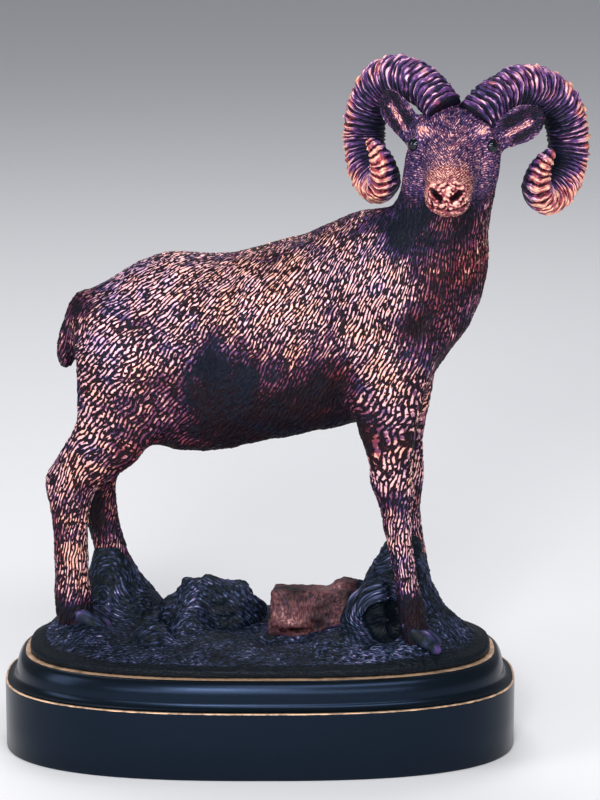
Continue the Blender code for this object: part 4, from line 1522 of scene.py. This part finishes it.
def plinth_profile():
    """Inset and height up the plinth's side: wall, ledge, then a moulding that curls in to the top."""
    wall, top, inset = PLINTH_WALL_HEIGHT, PLINTH_TOP, PLINTH_MOULDING_INSET
    cove, swell = 0.3 * PLINTH_MOULDING_HEIGHT, 0.7 * PLINTH_MOULDING_HEIGHT
    profile = [(PLINTH_EDGE_BREAK, 0.0), (0.15, 0.15), (0.0, PLINTH_EDGE_BREAK), (0.0, wall / 2)]
    profile += [(0.0, wall - 0.95), (0.0, wall - 0.55), (0.12, wall - 0.12), (0.5, wall), (0.85, wall + 0.01)]
    for i in range(1, 9):
        turn = math.pi / 2 * i / 8
        profile.append((inset * (0.15 + 0.4 * math.sin(turn)), wall + cove * (1 - math.cos(turn))))
    for i in range(1, 17):
        turn = math.pi / 2 * i / 16
        profile.append((inset * (0.55 + 0.45 * (1 - math.cos(turn))), wall + cove + swell * math.sin(turn)))
    return profile + [(inset + 0.5, top), (inset + 0.95, top)]


def make_plinth(finish):
    """One outline, extruded up and drawn in again and again along the moulding's profile."""
    deselect()
    bpy.ops.mesh.primitive_circle_add(vertices=PLINTH_CORNERS, radius=1, fill_type="NGON")
    plinth = bpy.context.object
    plinth.name = plinth.data.name = "plinth_body"
    profile = plinth_profile()
    along = PLINTH_LENGTH / 2 - profile[0][0]
    across = PLINTH_WIDTH / 2 - profile[0][0]
    corners = outline(Vector(), X * along, Y * across, PLINTH_CORNERS, PLINTH_ROUNDNESS)
    for corner, vertex in zip(corners, plinth.data.vertices):
        vertex.co = corner * MM
    bpy.ops.object.mode_set(mode="EDIT")
    bpy.ops.mesh.select_all(action="SELECT")
    for (inset, height), (next_inset, next_height) in zip(profile, profile[1:]):
        rise = (0, 0, (next_height - height) * MM)
        bpy.ops.mesh.extrude_region_move(TRANSFORM_OT_translate={"value": rise})
        wider = [(half - next_inset) / (half - inset) for half in (PLINTH_LENGTH / 2, PLINTH_WIDTH / 2)]
        bpy.ops.transform.resize(value=(*wider, 1), center_override=(0, 0, 0))
    bpy.ops.mesh.select_all(action="SELECT")
    bpy.ops.mesh.normals_make_consistent(inside=False)
    bpy.ops.object.mode_set(mode="OBJECT")
    skin = Skin(plinth)
    heights = skin.points[:, 2]
    skin.paint(gilt=sum(heights.round(3) == round(height, 3) for height in GILT_HEIGHTS))
    finish_piece(plinth, "plinth", finish)
    bpy.ops.object.shade_smooth_by_angle(angle=math.radians(50))


# Finishes


class Value:
    """A number that varies over a surface. Arithmetic on it adds Math nodes to its finish."""

    def __init__(self, finish, socket):
        self.finish, self.socket = finish, socket

    def math(self, operation, *operands):
        return self.finish.node("ShaderNodeMath", {"operation": operation}, dict(enumerate(operands))).value()

    def __add__(self, other):
        return self.math("ADD", self, other)

    def __sub__(self, other):
        return self.math("SUBTRACT", self, other)

    def __mul__(self, other):
        return self.math("MULTIPLY", self, other)

    def __rsub__(self, other):
        return self.math("SUBTRACT", other, self)

    __radd__ = __add__
    __rmul__ = __mul__

    def step(self, low, high):
        """0 below low, 1 above high, and smooth between."""
        sockets = {"Value": self, "From Min": low, "From Max": high}
        return self.finish.node("ShaderNodeMapRange", {"interpolation_type": "SMOOTHSTEP"}, sockets).value()


class Node:
    def __init__(self, finish, node):
        self.finish, self.node = finish, node

    def value(self, output=0):
        return Value(self.finish, self.node.outputs[output])


class Finish:
    """A material while its nodes are being joined."""

    def __init__(self, name):
        self.material = bpy.data.materials.new(name)
        self.material.use_nodes = True
        self.tree = self.material.node_tree
        self.shader = self.tree.nodes["Principled BSDF"]

    def node(self, kind, settings, sockets):
        made = self.tree.nodes.new(kind)
        for name, setting in settings.items():
            setattr(made, name, setting)
        for name, value in sockets.items():
            self.join(made.inputs[name], value)
        return Node(self, made)

    def join(self, socket, value):
        if isinstance(value, Value):
            self.tree.links.new(value.socket, socket)
        else:
            socket.default_value = value

    def shade(self, **sockets):
        for name, value in sockets.items():
            self.join(self.shader.inputs[name.replace("_", " ").title().replace("Ior", "IOR")], value)

    def place(self):
        return self.node("ShaderNodeTexCoord", {}, {}).value("Object")

    def painted(self, name):
        return self.node("ShaderNodeAttribute", {"attribute_name": name}, {}).value("Fac")

    def laid(self):
        """The place counted across and along the hairs."""
        return self.node("ShaderNodeAttribute", {"attribute_name": "lay"}, {}).value("Vector")

    def noise(self, place, scale, detail, roughness):
        sockets = {"Vector": place, "Scale": scale, "Detail": detail, "Roughness": roughness}
        return self.node("ShaderNodeTexNoise", {}, sockets).value("Fac")

    def grain(self, length, detail=3.0, roughness=0.55):
        """Noise from 0 to 1 whose lumps are this many millimetres long."""
        return self.noise(self.place(), 1 / (length * MM), detail, roughness)

    def lay_noise(self, width, length):
        """Noise from 0 to 1 stretched along the lay, and unlike on the two sides of the statue."""
        scale = {0: self.laid(), 1: (1 / width, 1 / length, 0.15)}
        sized = self.node("ShaderNodeVectorMath", {"operation": "MULTIPLY"}, scale).value()
        return self.noise(sized, 1.0, 0.0, 0.5)

    def hairs(self, width, length):
        """Short hairs side by side along the lay, 0 between them and 1 on their crests, and their luck."""
        across = self.node("ShaderNodeSeparateXYZ", {}, {"Vector": self.laid()}).value("X")
        sway = (self.lay_noise(width * 3.0, length * 2.4) - 0.5) * 1.9
        wave = (across * (1 / width) + sway) * (2 * math.pi)
        crest = wave.math("COSINE", wave) * 0.5 + 0.5
        broken = self.lay_noise(width * 0.55, length * 0.62).step(0.38, 0.53)
        luck = self.lay_noise(width * 1.3, length * 0.8).step(0.25, 0.75)
        return crest.step(0.1, 0.8) * broken, luck

    def mix(self, factor, first, second):
        sockets = {0: factor, 6: first, 7: second}
        return self.node("ShaderNodeMix", {"data_type": "RGBA"}, sockets).value(2)

    def bump(self, height, distance, strength=1.0):
        sockets = {"Height": height, "Distance": distance * MM, "Strength": strength}
        self.shade(Normal=self.node("ShaderNodeBump", {}, sockets).value())


# Patina colours: in the hollows, on the slopes and on the rubbed crests
BLUE_PATINA = ((0.003, 0.005, 0.013, 1), (0.088, 0.048, 0.180, 1), (0.70, 0.41, 0.62, 1))
PLUM_PATINA = ((0.006, 0.002, 0.006, 1), (0.180, 0.052, 0.125, 1), (0.93, 0.53, 0.56, 1))
COPPER_PATINA = ((0.009, 0.002, 0.004, 1), (0.250, 0.044, 0.062, 1), (0.96, 0.50, 0.40, 1))
HORN_PATINA = ((0.006, 0.003, 0.010, 1), (0.150, 0.052, 0.210, 1), (0.90, 0.48, 0.60, 1))
RIM_PATINA = ((0.010, 0.002, 0.004, 1), (0.420, 0.068, 0.090, 1), (1.0, 0.52, 0.38, 1))
SOIL_PATINA = ((0.002, 0.005, 0.009, 1), (0.038, 0.058, 0.130, 1), (0.24, 0.29, 0.50, 1))
STONE_PATINA = ((0.010, 0.004, 0.006, 1), (0.130, 0.050, 0.052, 1), (0.44, 0.24, 0.22, 1))
# The cool, lukewarm and warm patina of each piece
COAT_TONES = (BLUE_PATINA, PLUM_PATINA, COPPER_PATINA)
HORN_TONES = (BLUE_PATINA, HORN_PATINA, RIM_PATINA)
HOOF_TONES = (SOIL_PATINA, BLUE_PATINA, PLUM_PATINA)
GROUND_TONES = (SOIL_PATINA, BLUE_PATINA, STONE_PATINA)


def rubbed_patina(name, tones, hair, fine_share, lock_share):
    """Black patina in the hollows, and three tones of rubbed metal on the crests, by warmth. The rub layer
    also carries painted light and shade from the pieces.

    The shares say how much darker it is between the fine hairs and between the carved locks.
    """
    finish = Finish(name)
    lock, rub, warmth = (finish.painted(layer) for layer in ("lock", "rub", "warmth"))
    fine, luck = finish.hairs(*hair)
    grain = finish.grain(0.6, 4.0, 0.7)
    hair_share = finish.painted("hairy") * fine_share
    level = (lock * lock_share + (1 - lock_share)) * (1 - (1 - fine) * hair_share)
    level = level * (luck * 0.6 + 0.7) * rub * 1.75 + (grain - 0.5) * 0.15
    warmth = warmth + (luck - 0.5) * 0.4
    lukewarm, warm = warmth.step(0.05, 0.5), warmth.step(0.5, 0.95)
    hollow, slope, crest = (
        finish.mix(warm, finish.mix(lukewarm, cool, mild), hot) for cool, mild, hot in zip(*tones)
    )
    colour = finish.mix(level.step(0.08, 0.42), hollow, slope)
    colour = finish.mix(level.step(0.38, 0.80), colour, crest)
    finish.shade(base_color=colour, roughness=0.50 - level.step(0.2, 0.8) * 0.14)
    finish.shade(metallic=level.step(0.1, 0.6) * 0.35, specular_ior_level=0.14)
    finish.bump(fine * finish.painted("hairy") + grain * 0.4, 0.22)
    return finish.material


def eye_gloss():
    """Polished black eyes."""
    finish = Finish("polished black eye")
    colour = finish.mix(finish.grain(1.5, 2.0), (0.001, 0.001, 0.003, 1), (0.003, 0.003, 0.006, 1))
    finish.shade(base_color=colour, roughness=0.05)
    finish.shade(specular_ior_level=0.45, specular_tint=(0.75, 0.85, 1.0, 1))
    return finish.material


def lacquer():
    """Satin black lacquer with a worn gold line round the top edge of each tier."""
    finish = Finish("black lacquer with gold lines")
    gilt = finish.painted("gilt") + (finish.grain(2.5, 3.0, 0.6) - 0.5) * 0.7
    worn = finish.grain(5.0, 4.0, 0.7).step(0.32, 0.60)
    gold = gilt.step(0.42, 0.62) * (0.35 + worn * 0.65)
    colour = finish.mix(gold, (0.002, 0.004, 0.005, 1), (0.80, 0.52, 0.33, 1))
    scuff = finish.grain(14.0, 5.0, 0.6)
    finish.shade(base_color=colour, roughness=0.22 + scuff * 0.08 + gold * 0.2, metallic=gold * 0.4)
    finish.shade(specular_ior_level=0.3, specular_tint=(0.34, 0.52, 1.0, 1))
    finish.bump(finish.grain(2.2, 2.0), 0.02, 0.5)
    return finish.material


# Studio


# Lamps: name, place, width and depth in metres, and watts
LAMPS = (
    ("key", (0.35, -1.05, 1.15), 1.0, 0.28, 9),
    ("fill", (-1.2, -0.5, 0.6), 0.5, 0.9, 6),
    ("catch light", (-0.15, -1.2, 0.62), 0.25, 0.25, 7),
    ("strip", (0.0, -1.3, 0.38), 1.6, 0.12, 7),
    ("top", (-0.1, 0.6, 1.2), 0.7, 0.7, 6.5),
)
LAMP_TARGET = Vector((0, 0, 0.12))
# Camera, fitted to the photo: place, angle from straight down, focal length
CAMERA_PLACE = (0.0133, -1.0731, 0.3580)
CAMERA_ANGLE = math.radians(77.3)
CAMERA_LENS = 150.48


def make_floor():
    deselect()
    bpy.ops.mesh.primitive_plane_add(size=8, location=(0, 0, 0))
    floor = bpy.context.object
    floor.name = "floor"
    finish = Finish("pale floor")
    finish.shade(base_color=(0.86, 0.86, 0.88, 1), roughness=0.7)
    floor.data.materials.append(finish.material)
    floor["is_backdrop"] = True


def add_lamp(name, place, width, depth, power):
    data = bpy.data.lights.new(name, "AREA")
    data.shape = "RECTANGLE"
    data.energy, data.size, data.size_y = power, width, depth
    lamp = add_object(name, data)
    lamp.location = place
    lamp.rotation_euler = (LAMP_TARGET - Vector(place)).to_track_quat("-Z", "Y").to_euler()


def make_studio():
    make_floor()
    for lamp in LAMPS:
        add_lamp(*lamp)
    world = bpy.data.worlds.new("studio")
    world.use_nodes = True
    backdrop = world.node_tree.nodes["Background"]
    backdrop.inputs["Color"].default_value = (0.9, 0.92, 1.0, 1)
    backdrop.inputs["Strength"].default_value = 0.28
    bpy.context.scene.world = world
    bpy.context.scene.view_settings.view_transform = "Standard"


def make_camera():
    data = bpy.data.cameras.new("camera")
    data.sensor_width = 36
    data.lens = CAMERA_LENS
    camera = add_object("camera", data)
    camera.location = CAMERA_PLACE
    camera.rotation_euler = (CAMERA_ANGLE, 0, 0)
    bpy.context.scene.camera = camera


def write_sizes():
    """Works out the solids' box and the dressed statue's box as plain lists of numbers."""
    boxes = {"cad": CAD_BOX, "visual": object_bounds()}
    plain = {name: [[float(c) for c in corner] for corner in box] for name, box in boxes.items()}


make_camera()
make_studio()
coat_finish = rubbed_patina("rubbed bronze coat", COAT_TONES, COAT_HAIR, 1.0, 0.45)
face_finish = rubbed_patina("rubbed bronze face", COAT_TONES, FACE_HAIR, 0.6, 0.6)
make_ram(coat_finish, face_finish)
make_eyes(eye_gloss())
horn_finish = rubbed_patina("rubbed bronze horn", HORN_TONES, HORN_HAIR, 0.55, 0.95)
make_horn("horn_right", -1, horn_finish)
make_horn("horn_left", 1, horn_finish)
make_hooves(rubbed_patina("dark bronze hoof", HOOF_TONES, HOOF_HAIR, 0.3, 1.0))
make_ground(rubbed_patina("dark bronze ground", GROUND_TONES, GROUND_HAIR, 0.65, 0.8))
make_plinth(lacquer())
write_sizes()
